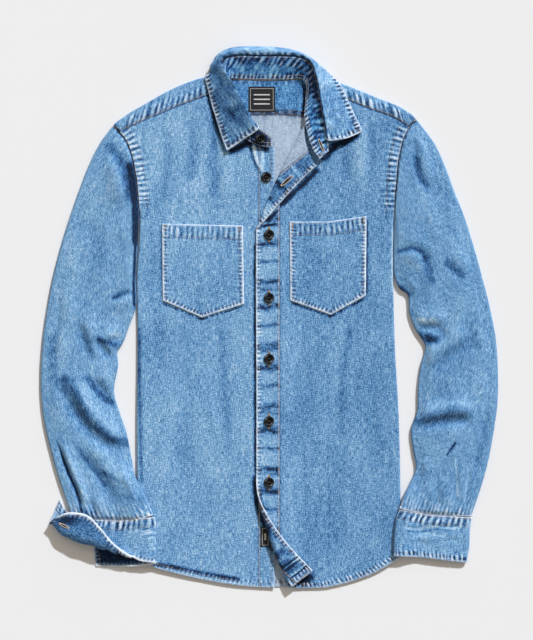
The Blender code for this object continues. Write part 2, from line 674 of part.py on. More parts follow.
def make_open_cuff():
    sections = [cuff_section(row) for row in rows(CUFF_COLUMNS, CUFF_RIGHT)]
    return band("cuff_right", sections, CUFF_CLOTH, 30, 9)


def lift(x, y, side):
    """Height of what a sleeve or cuff lies on: the ground, or the edge of the body."""
    low, high = LIFT_FROM[side]
    beside = side * (side_x(y, side) - x)
    return BODY_LIFT * smooth(-34, -4, beside) * (1 - smooth(low, high, y))


def fold_route(fold):
    """Points along the arc that a fold follows from its start past its middle to its end."""
    t = np.linspace(0, 1, 13)[:, None]
    start, middle, end = (np.array(fold[place], float) for place in ("start", "middle", "end"))
    return (1 - t) ** 2 * start + 2 * t * (1 - t) * middle + t ** 2 * end


def fold_depth(x, y, folds):
    """How far the soft folds press the cloth down at a point."""
    depth = 0.0
    for fold, route in folds:
        distance = np.hypot(route[:, 0] - x, route[:, 1] - y)
        nearest = int(np.argmin(distance))
        where = nearest / (len(route) - 1)
        fade = min(1, 5 * where + 0.3, 5 * (1 - where) + 0.3)
        depth += fold["depth"] * fade * math.exp(-(distance[nearest] / fold["width"]) ** 2)
    return min(depth, DEEPEST_FOLD)


def flat_ring(rim):
    """Places round a flattened tube: u across it from 0 to 1, and level from -1 up to 1."""
    ring = [(u, 1.0) for u in np.linspace(rim, 1 - rim, RING_TOP)]
    ring += [(1 - rim + rim * math.sin(a), math.cos(a)) for a in QUARTERS]
    ring += [(u, -1.0) for u in np.linspace(1 - rim, rim, RING_UNDER)]
    ring += [(rim - rim * math.sin(a), -math.cos(a)) for a in QUARTERS]
    return ring


def tube(name, ends, edges, radius, wall, stations, side, folds=()):
    """A flattened tube. Seen from above it is a Coons patch between its four edges."""
    outer, inner = (spline(edge, stations) for edge in edges)
    first, last = (spline(end, 101) for end in ends)
    folds = [(fold, fold_route(fold)) for fold in folds]
    grid = []
    for station in range(stations):
        v = station / (stations - 1)
        rim = radius / np.linalg.norm(outer[station] - inner[station])
        row = []
        for u, level in flat_ring(rim):
            x, y = ((1 - v) * sample(first, u) + v * sample(last, u)
                    + (1 - u) * outer[station] + u * inner[station]
                    - (1 - u) * ((1 - v) * outer[0] + v * outer[-1])
                    - u * ((1 - v) * inner[0] + v * inner[-1]))
            z = lift(x, y, side) + radius * (1 + level)
            if level == 1.0:
                z -= fold_depth(x, y, folds) * min(1, 6 * (u - rim), 6 * (1 - rim - u))
            row.append((x, y, z))
        grid.append(row if side < 0 else row[::-1])
    return grid_solid(name, np.array(grid), wall, True)


def sample(line, u):
    """A point on an evenly spaced line, u from 0 to 1."""
    place = u * (len(line) - 1)
    low = min(int(place), len(line) - 2)
    return line[low] + (line[low + 1] - line[low]) * (place - low)


def make_sleeve(side):
    right = side < 0
    ends = (ARMHOLE_RIGHT, CUFF_SEAM_RIGHT) if right else (ARMHOLE_LEFT, CUFF_SEAM_LEFT)
    edges = ((SLEEVE_RIGHT_OUTER, SLEEVE_RIGHT_INNER) if right
             else (SLEEVE_LEFT_OUTER, SLEEVE_LEFT_INNER))
    folds = rows(FOLD_COLUMNS, FOLDS_RIGHT if right else FOLDS_LEFT)
    return tube("sleeve_right" if right else "sleeve_left", ends, edges, SLEEVE_RADIUS,
                SLEEVE_CLOTH, SLEEVE_STATIONS, side, folds)


def make_closed_cuff():
    drop = -SEAM - 0.1
    outer, inner = shifted(CUFF_LEFT_OUTER, 0, drop), shifted(CUFF_LEFT_INNER, 0, drop)
    seam = [outer[0], *shifted(CUFF_SEAM_LEFT[1:-1], 0, drop), inner[0]]
    hem = [outer[-1], *CUFF_LEFT_HEM[1:-1], inner[-1]]
    return tube("cuff_left", (seam, hem), (outer, inner), CUFF_RADIUS, CUFF_CLOTH, 6, 1)


# ---------------------------------------------------------------- buttons

def make_button(name, place, tilt=0.0):
    """A dished shirt button, turned from its profile, lying on the cloth."""
    rings = [(0.8, 0.0), (1.0, 0.4), (0.9, 1.0), (0.62, 0.75)]
    points, faces = [(0.0, 0.0, 0.0)], []
    for radius, height in rings:
        for k in range(BUTTON_SIDES):
            turn = 2 * math.pi * k / BUTTON_SIDES
            points.append((BUTTON_RADIUS * radius * math.cos(turn),
                           BUTTON_RADIUS * radius * math.sin(turn), BUTTON_HEIGHT * height))
    points.append((0.0, 0.0, BUTTON_HEIGHT * 0.7))
    for k in range(BUTTON_SIDES):
        after = (k + 1) % BUTTON_SIDES
        faces.append([0, 1 + after, 1 + k])
        for ring in range(len(rings) - 1):
            low, high = 1 + ring * BUTTON_SIDES, 1 + (ring + 1) * BUTTON_SIDES
            faces.append([low + k, low + after, high + after, high + k])
        last = 1 + (len(rings) - 1) * BUTTON_SIDES
        faces.append([last + k, last + after, len(points) - 1])
    made = add_object(name, points, faces, BLACK, 0.25)
    made.location = [MM * value for value in place]
    made.rotation_euler = (math.radians(tilt), 0, 0)
    return made


def height_at(points, x):
    """Y of a curve where it crosses x."""
    fine = spline(points, 60)
    fine = fine[np.argsort(fine[:, 0])]
    return float(np.interp(x, fine[:, 0], fine[:, 1]))


def main():
    clear_scene()
    make_back()
    make_yoke()
    for side in (-1, 1):
        make_front(side)
        make_placket(side)
        make_sleeve(side)
    make_stand()
    make_leaf()
    make_closed_cuff()
    make_open_cuff()
    make_pocket("pocket_right", POCKET_RIGHT, front_height)
    make_pocket("pocket_left", POCKET_LEFT, left_height)
    for number, y in enumerate(BUTTON_ROWS, 1):
        make_button(f"button_{number}", (0, y, left_height(0, y) + SEAM))
    x, y = OPEN_BUTTON
    make_button("button_open", (x, y, front_height(x, y) + SEAM))
    make_button("button_stand", STAND_BUTTON["place"], STAND_BUTTON["tilt"])
    make_label("neck_label", NECK_LABEL, YOKE_CLOTH + SEAM + LABEL_CLOTH)
    make_label("placket_label", PLACKET_LABEL, MID_HEIGHT + SEAM + LABEL_CLOTH)


main()
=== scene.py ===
"""The looks of a denim shirt laid out flat: cloth, stitching, buttons, labels, floor and light.

Each piece of cloth is a closed thin shell over the solid of its name. Its outline and the
place where it lies are worked out from the same sizes, in millimetres, and then it gets its
finer creases, its raised and puckered seams, and its stitches. Left and right in the names
are the wearer's, so the right front is at -X. The camera looks straight down.
"""
import math

import bpy
import numpy as np
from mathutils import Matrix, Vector
from mathutils.geometry import delaunay_2d_cdt
from mathutils.kdtree import KDTree


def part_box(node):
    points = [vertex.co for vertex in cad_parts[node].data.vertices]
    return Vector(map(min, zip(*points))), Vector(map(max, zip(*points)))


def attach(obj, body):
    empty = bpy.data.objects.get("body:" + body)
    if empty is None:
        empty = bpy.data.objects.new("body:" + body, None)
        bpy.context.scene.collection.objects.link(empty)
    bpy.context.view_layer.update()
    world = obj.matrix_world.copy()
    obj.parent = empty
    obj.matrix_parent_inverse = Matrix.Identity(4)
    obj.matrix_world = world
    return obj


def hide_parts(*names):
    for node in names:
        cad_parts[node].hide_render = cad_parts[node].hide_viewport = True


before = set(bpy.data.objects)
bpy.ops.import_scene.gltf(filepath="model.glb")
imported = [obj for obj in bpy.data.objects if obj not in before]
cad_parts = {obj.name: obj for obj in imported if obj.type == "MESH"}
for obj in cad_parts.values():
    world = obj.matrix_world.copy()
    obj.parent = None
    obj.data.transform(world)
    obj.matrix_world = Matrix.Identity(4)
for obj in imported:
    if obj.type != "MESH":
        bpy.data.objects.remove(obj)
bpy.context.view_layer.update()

MM = 0.001

# Sizes of the solids, mm
SEAM = 0.3
CLOTH = 1.2
YOKE_CLOTH = 1.6
SLEEVE_CLOTH = 1.6
BAND_CLOTH = 1.6
CUFF_CLOTH = 2.0
COLLAR_CLOTH = 2.0
STAND_CLOTH = 1.8
LABEL_CLOTH = 0.6           # thinner than the label's solid, which is 1.0
SIDE_RADIUS = 3.0
SLEEVE_RADIUS = 3.5
CUFF_RADIUS = 3.9
MID_HEIGHT = 3.8
LEFT_LIFT = 2.0
SIDE_TUCK = 55.0
BODY_LIFT = 6.6
LIFT_FROM = {-1: (-235, -200), 1: (-255, -222)}
PLACKET_LEFT = (-18.5, 15.2)
PLACKET_RIGHT = (-15.0, 8.0)
PLACKET_LEFT_FOOT = -393.0
BUTTON_RADIUS = 7.5
BUTTON_HEIGHT = 3.0
UNDER_GAP = 0.9             # gap at the armholes underneath
SIDE_FALL = (8, 95)         # a front sinks over this stretch inside its side fold
SHOULDER_FALL = (20, 120)   # and over this stretch below the shoulder fold
LAP_FADE = (18, 50)         # x over which the left front comes down from the right placket

# Fineness of the meshes, mm
STEP = 2.5
FINE_STEP = 2.0             # on the pockets and the top placket
LABEL_STEP = 1.5
BACK_STEP = 5.5             # on the back, which is hidden but for the inside of the neck
BEND_GAIN = 1.5             # how much a bend is widened while its points are spread
NUDGE = 0.05                # step for taking the slope of a surface
ROW_RISE = 0.87             # from row to row of an even field of points, in steps
EDGE_ROWS = (0.5, 1.3)      # rows of points just inside an edge, which round it
EDGE_ROUND = 1.4            # over this much of its rim a piece of cloth is rounded
GROUND = 0.03               # no point of the cloth lies lower

# Pieces that show both faces at an edge, so that its wear is on both
TURNED_PIECES = ("placket_left", "cuff_right", "front_left", "collar_stand", "yoke")

# Outlines, mm
SHOULDER_EDGE = [(-228, 282), (-209, 297), (-182, 313), (-150, 331), (-124, 343), (-93, 353),
                 (-60, 357), (0, 357), (55, 356), (101, 345), (130, 334), (157, 323),
                 (191, 309), (206, 299), (215, 291)]
SIDE_EDGE_RIGHT = [(-187, -352), (-190, -323), (-192, -264), (-193, -150), (-192, -60),
                   (-192, 10), (-193, 60), (-190, 105), (-188, 157)]
SIDE_EDGE_LEFT = [(188, -350), (191, -323), (191, -206), (188, -118), (184, -50), (182, 13),
                  (181, 60), (181, 105), (182, 147)]
ARMHOLE_RIGHT = [(-228, 282), (-218, 272), (-209, 261), (-203, 248), (-199, 235), (-196, 220),
                 (-193, 203), (-191, 181), (-189, 157)]
ARMHOLE_LEFT = [(215, 291), (206, 282), (200, 272), (195, 260), (191, 244), (188, 228),
                (186, 203), (184, 174), (183, 147)]
YOKE_SEAM_RIGHT = [(-216, 274), (-205, 280), (-183, 290), (-150, 304), (-118, 317), (-89, 328),
                   (-74, 334)]
YOKE_SEAM_LEFT = [(204, 282), (191, 290), (177, 297), (147, 307), (118, 319), (89, 330),
                  (55, 341)]
NECK_RIGHT = [(-74, 334), (-69, 317), (-57, 296), (-39, 276), (-19, 260), (8, 250)]
NECK_LEFT = [(55, 341), (55, 320), (53, 298), (47, 281), (31, 270), (14, 264), (-9, 260)]
NECK_BACK = [(-60, 351), (-42, 349), (-5, 348), (31, 349), (50, 351)]
FRONT_EDGE_LEFT = [(-9, 260), (-12, 225), (-16, 181), (-18.5, 137), (-18.5, -130), (-18.5, -393)]
HEM_RIGHT = [(-187, -352), (-168, -362), (-137, -371), (-93, -381), (-51, -388), (-20, -391),
             (8, -392)]
HEM_LEFT = [(-18.5, -393), (28, -393), (58, -393), (86, -391), (126, -381), (156, -369),
            (175, -358), (188, -350)]
BACK_YOKE_SEAM = (299.0, 0.0011)    # y of its middle, and its fall with the square of x
BACK_SEAM_REACH = 200.0             # about how far from the middle it ends
BACK_HEM_RISE = 2.0

SLEEVE_RIGHT_OUTER = [(-228, 282), (-248, 254), (-262, 226), (-276, 190), (-291, 147),
                      (-305, 101), (-316, 57), (-324, 13), (-330, -31), (-333, -80),
                      (-332, -118), (-327, -155), (-317, -197), (-306, -235), (-296, -264),
                      (-289, -284)]
SLEEVE_RIGHT_INNER = [(-189, 157), (-190.6, 135), (-191.6, 105), (-194.4, 60), (-194, 18),
                      (-203, -8), (-213, -35), (-221, -48), (-220, -67), (-226, -105),
                      (-218, -136), (-208, -165), (-201, -200), (-195, -228), (-183, -252),
                      (-168, -285)]
SLEEVE_LEFT_OUTER = [(215, 291), (241, 256), (257, 222), (271, 184), (285, 149), (300, 101),
                     (312, 57), (323, 13), (331, -31), (334, -85), (333, -125), (328, -162),
                     (320, -206), (309, -246), (295, -288)]
SLEEVE_LEFT_INNER = [(183.2, 147), (182.4, 105), (182.8, 64), (191, 44), (202, 36), (205, 8),
                     (213, -14), (228, -40), (221, -69), (217, -104), (216, -134), (207, -162),
                     (210, -191), (214, -218), (205, -240), (196, -258), (190, -276)]
CUFF_SEAM_RIGHT = [(-289, -284), (-264, -290), (-228, -292), (-188, -290), (-168, -285)]
CUFF_SEAM_LEFT = [(295, -288), (264, -287), (235, -285), (206, -280), (190, -276)]
CUFF_LEFT_HEM = [(288, -355), (264, -353), (213, -347), (181, -345)]
CUFF_LEFT_OUTER = [(295, -289), (293, -308), (292, -330), (288, -355)]
CUFF_LEFT_INNER = [(190, -277), (185, -291), (182, -315), (181, -345)]

TURN_NECK = {"start": (-17.5, 135), "end": (51, 284), "radius": 1.2, "bow": 2.6}
TURN_TAIL = {"start": (-20, -240), "end": (30, -393), "radius": 4.5, "bow": 5.5}

STAND_COLUMNS = ("foot", "top")
STAND = [
    ((3, 250, 8.0), (3, 264, 9.5)),
    ((-10, 251, 8.2), (-8, 272, 11.0)),
    ((-28, 258, 8.2), (-22, 284, 14.0)),
    ((-45, 276, 8.2), (-33, 304, 17.4)),
    ((-59, 298, 8.2), (-44, 324, 18.6)),
    ((-66, 320, 8.4), (-55, 345, 18.6)),
    ((-67, 340, 8.4), (-64, 361, 18.2)),
    ((-60, 350, 7.2), (-64, 376, 18.6)),
    ((-44, 350, 4.2), (-50, 381, 19.0)),
    ((-10, 349, 3.8), (-10, 381, 19.0)),
    ((25, 349, 3.8), (25, 381, 19.0)),
    ((44, 350, 5.0), (47, 378, 19.5)),
    ((53, 344, 8.6), (61, 370, 20.5)),
    ((53, 320, 8.6), (70, 342, 21.5)),
    ((51, 295, 9.6), (76, 312, 21.5)),
    ((56, 269, 12.4), (81, 284, 20.0)),
    ((65, 244, 14.4), (86, 260, 17.5)),
    ((73, 232, 14.6), (87, 244, 16.0)),
]
LEAF_COLUMNS = ("seam", "roll", "middle", "edge")
LEAF = [
    ((-16, 281, 15.6), (-15, 276, 19.0), (-38, 260, 14.5), (-61, 245, 9.2)),
    ((-25, 291, 19.0), (-24, 290, 22.5), (-46, 276, 16.0), (-67, 259, 9.0)),
    ((-34, 306, 21.5), (-33, 307, 24.5), (-56, 295, 17.0), (-75, 284, 8.8)),
    ((-45, 326, 22.5), (-43, 326, 25.5), (-66, 318, 17.0), (-83, 310, 8.8)),
    ((-56, 346, 22.5), (-55, 347, 25.5), (-76, 342, 16.5), (-90, 337, 8.8)),
    ((-64, 361, 22.0), (-65, 362, 24.5), (-81, 357, 15.5), (-93, 353, 8.2)),
    ((-67, 369, 21.4), (-70, 372, 22.8), (-86, 369, 10.5), (-79, 362, 2.4)),
    ((-65, 378, 20.8), (-68, 382, 22.0), (-77, 383, 10.5), (-64, 368, 2.2)),
    ((-50, 383, 20.4), (-53, 389, 21.5), (-56, 394.5, 10.5), (-47, 368, 2.2)),
    ((-10, 383, 20.4), (-10, 390, 21.5), (-10, 396.5, 10.5), (-10, 368, 2.2)),
    ((25, 383, 20.4), (27, 388.5, 21.5), (29, 393, 10.5), (26, 368, 2.2)),
    ((47, 380, 20.8), (52, 383, 22.4), (58, 381, 11.5), (46, 368, 2.2)),
    ((61, 371, 22.0), (63, 372, 24.5), (80, 364, 14.0), (76, 360, 3.4)),
    ((66, 357, 22.6), (67, 358, 25.5), (86, 354, 17.0), (101, 346, 8.6)),
    ((70, 342, 23.0), (70, 342, 26.0), (92, 335, 18.0), (112, 326, 8.8)),
    ((76, 312, 23.0), (75, 312, 26.0), (100, 304, 18.0), (124, 300, 8.8)),
    ((81, 286, 21.5), (80, 286, 24.5), (108, 279, 16.5), (134, 279, 8.8)),
    ((86, 263, 19.0), (84, 259, 21.5), (111, 262, 14.5), (136, 273, 9.0)),
]
CUFF_COLUMNS = ("seam", "fold", "hem", "roll")
CUFF_RIGHT = [
    ((-256, -300, 0.0), (-256, -330, 0.0), (-253, -361, 0.0), 0),
    ((-238, -297, 0.0), (-237, -329, 0.0), (-236, -362, 0.0), 0),
    ((-218, -296, 0.9), (-217, -329, 0.9), (-216, -362, 0.9), 0),
    ((-200, -295, 6.2), (-199, -328, 6.2), (-198, -361, 6.2), 0),
    ((-180, -294, 6.6), (-178, -327, 6.6), (-176, -359, 6.6), 0),
    ((-166, -289, 10.5), (-164, -322, 10.5), (-164, -356, 10.5), 0),
    ((-175, -289, 14.4), (-175, -322, 14.4), (-176, -354, 14.4), 0),
    ((-190, -291, 13.9), (-190, -320, 14.2), (-190, -351, 15.4), 0),
    ((-208, -293, 12.0), (-207, -344, 16.8), (-208, -339, 19.4), 2.6),
    ((-228, -293.5, 9.2), (-224, -339, 18.0), (-227, -324, 22.2), 4.0),
    ((-247, -293, 8.0), (-243, -333, 17.4), (-246, -301, 22.8), 5.0),
    ((-264, -291.5, 7.6), (-261, -327, 16.6), (-263, -285, 22.0), 5.5),
    ((-282, -288, 7.2), (-283, -321, 15.6), (-279, -281, 20.6), 5.5),
    ((-298, -277, 4.6), (-302, -312, 13.4), (-296, -282, 18.2), 5.0),
    ((-306, -263, 2.6), (-320, -297, 10.0), (-310, -292, 14.6), 3.5),
]
POCKET_RIGHT = [(-156, 139), (-38, 136), (-36.5, 22), (-98, 2), (-155, 27)]
POCKET_LEFT = [(30, 142), (86, 142), (142, 150), (141, 34), (90, 6), (31, 27)]
BUTTON_ROWS = [123, 31, -58, -149, -238]
STAND_BUTTON = {"place": (-12.5, 262.5, 13.6), "tilt": 24}
NECK_LABEL = (-30, 302, 9, 339)
PLACKET_LABEL = (-12, -332, 1, -303)

# Slits on a band seen from above, mm: middle, direction, length and half of the opening
STAND_HOLE = ((75.9, 252.6), (-0.39, 0.92), 18, 0.9)
CUFF_HOLE = ((-297.1, -300), (-0.91, 0.41), 15, 0.8)
NECK_HOLE = (1.5, 212.5)    # the buttonhole on the back of the turned corner
# Plain bars of a label: height of the middle, thickness and width as shares of the label
NECK_BARS = [(0.68, 0.05, 0.6), (0.50, 0.05, 0.6), (0.32, 0.05, 0.6)]
PLACKET_BARS = [(0.5, 0.34, 0.22)]
BORDER = 0.5                # width of a label's pale border

# Creases: the trough's route, its half width and depth, and the height of the ridge beside it.
# The ridge is to the left of the route, or to its right where it is negative.
CREASE_COLUMNS = ("route", "width", "depth", "ridge")
CREASES_SLEEVE_RIGHT = [
    ([(-232, 253), (-212, 228), (-203, 200), (-200, 160)], 8, 2.2, -2.6),
    ([(-243, 250), (-241, 215), (-243, 185)], 9, 0.9, 0.7),
    ([(-197, 42), (-218, 35), (-234, 26)], 6, 1.8, 1.2),
    ([(-302, 46), (-306, 12), (-311, -23), (-317, -78)], 6, 1.8, 1.4),
    ([(-279, 0), (-268, -36), (-258, -64)], 7, 2.0, 1.8),
    ([(-256, -28), (-242, -44), (-227, -60)], 7, 2.6, 2.2),
    ([(-240, -35), (-224, -31), (-208, -30)], 6, 2.6, 1.5),
    ([(-258, -82), (-240, -108), (-220, -128)], 8, 2.6, 2.4),
    ([(-317, -84), (-298, -106), (-278, -142), (-256, -168), (-234, -184), (-206, -186),
      (-188, -184)], 9, 3.6, 4.2),
    ([(-278, -184), (-262, -208), (-246, -230), (-235, -246), (-231, -270)], 9, 2.4, 2.4),
    ([(-224, -232), (-208, -248), (-202, -274)], 8, 1.4, 1.2),
    ([(-311, -172), (-303, -198), (-292, -226), (-280, -254), (-272, -284)], 4, 3.4, 2.6),
    ([(-262, -262), (-256, -276), (-253, -290)], 5, 2.0, 1.2),
    ([(-262, 150), (-254, 100), (-258, 60)], 12, 1.0, 0.9),
    ([(-226, 130), (-222, 90), (-228, 50)], 11, 1.0, 0.8),
    ([(-318, 0), (-322, -40), (-324, -90)], 6, 0.9, 0.8),
]
CREASES_SLEEVE_LEFT = [
    ([(208, 268), (213, 247), (216, 222), (222, 202), (237, 186)], 6, 2.2, 1.8),
    ([(181, 95), (196, 101), (213, 103), (228, 94), (233, 76), (236, 54)], 6, 2.2, -2.0),
    ([(255, 85), (270, 73), (285, 54)], 8, 1.2, 1.2),
    ([(190, 46), (199, 38), (210, 31)], 6, 2.6, 1.4),
    ([(214, -20), (235, -12), (258, -17)], 7, 2.8, 2.2),
    ([(262, -14), (246, -30), (228, -40)], 6, 2.2, -1.6),
    ([(303, -26), (280, -42), (256, -58), (233, -84)], 9, 2.2, -2.2),
    ([(206, -161), (228, -155), (252, -150), (278, -148), (306, -149)], 8, 3.2, 3.4),
    ([(274, -174), (266, -188), (257, -201)], 3, 2.0, 1.2),
    ([(210, -206), (215, -220), (222, -234)], 6, 2.4, 1.6),
    ([(324, -84), (321, -118), (314, -160), (305, -206), (297, -240), (288, -268)], 7, 2.2, 2.0),
    ([(273, -204), (271, -236), (273, -276)], 5, 1.2, 1.0),
    ([(293, -208), (289, -240), (284, -278)], 4, 1.4, 1.2),
    ([(247, -224), (245, -250), (249, -280)], 5, 1.0, 0.8),
    ([(240, 210), (252, 160), (268, 110)], 12, 1.0, 0.9),
    ([(222, 150), (232, 120), (240, 100)], 10, 1.0, -0.9),
    ([(286, 20), (292, -20), (306, -60)], 9, 1.2, 1.0),
]
CREASES_BODY = [
    ([(-77, 322), (-80, 260), (-76, 190), (-80, 150)], 7, 1.3, 0.8),
    ([(-112, 300), (-108, 240), (-114, 180)], 12, 0.5, 0.3),
    ([(-168, 262), (-164, 200), (-168, 120), (-163, 20), (-168, -120)], 13, 0.6, -0.4),
    ([(148, 300), (150, 240), (146, 176)], 7, 0.9, -0.5),
    ([(112, 300), (110, 250), (116, 190)], 10, 0.6, 0.4),
    ([(120, 0), (128, -60), (124, -150)], 12, 0.6, 0.4),
    ([(160, -40), (152, -140), (158, -260)], 12, 0.6, -0.4),
    ([(64, -20), (60, -120), (66, -230)], 14, 0.4, 0.3),
    ([(-62, -10), (-66, -110), (-60, -220)], 14, 0.5, 0.3),
    ([(-120, -40), (-126, -160), (-118, -290)], 13, 0.5, -0.3),
    ([(-29, 266), (-26, 240), (-20, 222), (-12, 208)], 2.6, 1.4, 1.6),
    ([(-5, 256), (-6, 238), (-5, 222), (-3, 210)], 2.4, 0.9, -1.2),
    ([(-60, 122), (-52, 106), (-46, 92)], 8, 0.7, 0.4),
    ([(52, 110), (72, 88), (80, 64)], 9, 0.6, 0.4),
    ([(80, -250), (100, -300), (96, -350)], 12, 0.5, 0.3),
]

# Painted shade in hollows and creases, painted shadows beside raised edges, and painted
# highlights where the depth is negative: route seen from above, half width and depth of the colour
SHADE_COLUMNS = ("route", "width", "depth")
NARROW_SHADE = 4.5
SHADES_BODY = [
    ([(-95, 352), (-92, 336), (-85, 309), (-77, 283), (-69, 258), (-64, 242)], 1.7, 1.5),
    ([(-62, 241), (-44, 249), (-26, 260)], 4.5, 2.2),
    ([(-34, 264), (-12, 253), (2, 247)], 6.0, 1.8),
    ([(134, 270), (112, 258), (90, 252)], 4.2, 2.2),
    ([(6, 155), (13, 163), (21, 171), (30, 180)], 2.3, 3.0),
    ([(18, 165), (28, 176), (37.5, 185), (55, 202), (74, 221)], 3.2, 2.8),
    ([(76, 228), (88, 242), (100, 256)], 4.6, 1.6),
    ([(-184, -355), (-140, -361.5), (-93, -371), (-60, -377), (-38, -380)], 3.0, 1.8),
    ([(-20.6, 112), (-20.6, -60), (-20.6, -225)], 1.4, 2.2),
    ([(119, -10), (113, -50), (107, -90), (106, -140), (104, -175)], 6.5, 0.42),
    ([(-74, -10), (-68, -30), (-65, -70), (-62, -110), (-60, -170)], 6.5, 0.32),
    ([(-90, 240), (-86, 210), (-83, 175)], 5, 0.35),
    ([(-80, 250), (-76, 215), (-72, 180)], 5, -0.25),
    ([(-122, 300), (-120, 240), (-122, 180)], 34, -0.13),
    ([(118, 290), (120, 240), (122, 190)], 32, -0.12),
    ([(-189.5, -10), (-188.5, -120), (-186, -240)], 2.4, 1.0),
    ([(-20.5, -225), (-21, -250), (-17, -272), (-11, -290), (-5, -306), (0, -325), (6, -342)],
     3.2, 2.4),
    ([(65, -371), (54, -381), (42, -389)], 5.5, 2.4),
    ([(-158, 24), (-98, -1), (-36, 19)], 1.2, 1.9),
    ([(-157.5, 137), (-157, 80), (-156.5, 28)], 1.3, 0.6),
    ([(30, 24), (90, 3), (142, 31)], 1.2, 1.9),
    ([(143.5, 148), (143, 90), (142.5, 34)], 1.2, 1.4),
    ([(-77, 330), (-80, 260), (-76, 180)], 6, 0.4),
    ([(180.6, 150), (179.8, 105), (179.8, 70), (180, 36)], 1.3, -0.9),
    ([(-112, 296), (-109, 250), (-114, 200)], 7, 0.25),
    ([(-150, 280), (-148, 240), (-152, 170)], 7, 0.25),
    ([(148, 290), (150, 240), (146, 190)], 5, 0.15),
    ([(112, 290), (110, 250), (116, 200)], 5, 0.1),
    ([(-23, 262), (-20, 240), (-14, 224), (-8, 214)], 1.9, -1.1),
    ([(-28, 262), (-25, 240), (-19, 224), (-12, 213)], 1.9, 1.1),
    ([(-8, 250), (-9, 236), (-7, 222)], 1.7, -0.8),
    ([(-55, 322), (10, 327), (50, 320)], 32, 0.5),
    ([(-40, 300), (10, 301), (55, 299)], 4, 0.7),
    ([(51, 292), (53, 325), (51, 347)], 3.5, 1.8),
]
SHADES_SLEEVE = [
    ([(-238, 258), (-220, 236), (-208, 206), (-202, 170)], 6, 0.8),
    ([(-205, 230), (-201, 216), (-197.5, 192), (-195, 165), (-194.5, 140), (-194.5, 106)],
     4.6, 2.7),
    ([(-194, 122), (-196, 80), (-197, 50), (-196, 15)], 1.8, 2.6),
    ([(-310, -174), (-304, -191), (-297, -213), (-290, -230)], 1.2, 1.4),
    ([(-300, -204), (-290, -230), (-281, -250), (-276, -266), (-271, -288)], 1.7, 2.1),
    ([(273, -177), (266, -188), (261, -195), (258, -200)], 1.1, 3.2),
    ([(-278, -277), (-262, -284), (-246, -286)], 5, 0.8),
    ([(214, -22), (226, -26), (238, -29), (250, -32)], 6, 1.3),
    ([(236, -18), (233, -28), (228, -39)], 5, 0.6),
    ([(214, 242), (216, 224), (221, 206), (234, 188)], 4.5, 0.8),
    ([(182, 96), (196, 101), (210, 103), (223, 97), (230, 84)], 3.2, 1.0),
    ([(226, 96), (232, 74), (239, 48)], 6, 0.7),
    ([(252, 88), (268, 74), (286, 58)], 5, 0.7),
    ([(183, 48), (196, 41), (209, 30)], 5, 1.2),
    ([(206, 18), (214, 2), (224, -8)], 4, 0.4),
    ([(-254, -26), (-242, -32), (-230, -36), (-216, -40)], 4, 1.0),
    ([(-236, -20), (-222, -24), (-208, -26)], 4, -0.4),
    ([(-318, -78), (-306, -94), (-292, -112)], 6, 0.6),
    ([(-304, -82), (-284, -88), (-262, -86)], 6, 0.5),
    ([(-283, -181), (-268, -203), (-250, -226), (-234, -248)], 3.5, 0.7),
    ([(-236, -255), (-205, -264), (-178, -274)], 14, 0.4),
    ([(-246, -220), (-232, -228), (-218, -236)], 4, 0.6),
    ([(-318, -20), (-316, -50), (-312, -80)], 7, 0.4),
    ([(208, 2), (222, -2), (236, -4), (248, -6)], 5, -0.7),
    ([(188, 296), (200, 288), (206, 276)], 4, -1.0),
    ([(209, -153), (226, -145), (250, -137), (276, -134), (300, -138)], 8, 0.5),
    ([(-303, -82), (-285, -102), (-267, -134), (-247, -159), (-228, -174), (-204, -180),
      (-188, -180)], 6.5, 0.9),
    ([(-266, -80), (-256, -98), (-240, -116), (-222, -126)], 4.5, 0.9),
    ([(-268, -20), (-262, -40), (-254, -60)], 5, 0.4),
    ([(271, -200), (273, -230), (276, -262)], 1.8, -0.7),
    ([(293, -214), (288, -244), (284, -272)], 1.8, -0.7),
    ([(-196, 42), (-214, 37), (-232, 28)], 2.6, 1.1),
]
SHADES_COLLAR = [
    ([(-72, 348), (-60, 332), (-46, 318), (-36, 306)], 5, 0.30),
    ([(-66, 330), (-54, 318), (-44, 310)], 3, -0.35),
    ([(-70, 312), (-56, 298), (-40, 284), (-30, 276)], 4.5, 0.35),
    ([(-64, 290), (-52, 276), (-44, 268)], 3, -0.35),
    ([(84, 258), (80, 286), (75, 312), (70, 342), (66, 358)], 1.9, 2.2),
    ([(112, 340), (104, 318), (108, 292)], 5, 0.3),
    ([(-84, 352), (-76, 368), (-66, 382), (-50, 392)], 5, 0.6),
    ([(-66, 384), (-58, 370), (-50, 356)], 5, 0.8),
    ([(88, 320), (92, 302), (93, 286)], 6, 0.4),
]
SHADES_PLACKET = [
    ([(-14, 134.5), (-6, 136), (4, 137.6), (13.6, 139)], 1.0, 3.0),
    ([(-13, 131), (-5, 132.4), (4, 134)], 1.2, -0.8),
    ([(-5, 139), (2, 147), (9, 154), (17, 162)], 1.9, 2.8),
]
SHADES_CUFF = [
    ([(193, -303), (215, -306), (240, -302), (262, -306), (282, -301)], 1.6, -0.9),
    ([(196, -307), (220, -310), (246, -306), (270, -309)], 1.7, 0.8),
    ([(206, -318), (232, -312), (262, -318)], 1.6, -0.6),
    ([(-186, -303), (-174, -301), (-160, -303)], 1.5, -0.9),
    ([(-188, -307), (-174, -305), (-160, -307)], 1.5, 0.7),
    ([(-184, -313), (-172, -310), (-160, -313)], 1.5, -0.9),
    ([(-180, -321), (-170, -318), (-160, -321)], 1.5, -0.8),
    ([(-182, -317), (-170, -314), (-160, -317)], 1.4, 0.7),
    ([(-178, -329), (-168, -326), (-160, -329)], 1.5, -0.8),
    ([(-196, -306), (-184, -309), (-170, -307)], 1.3, -0.8),
    ([(-174, -336), (-166, -333), (-160, -336)], 1.3, -0.7),
]
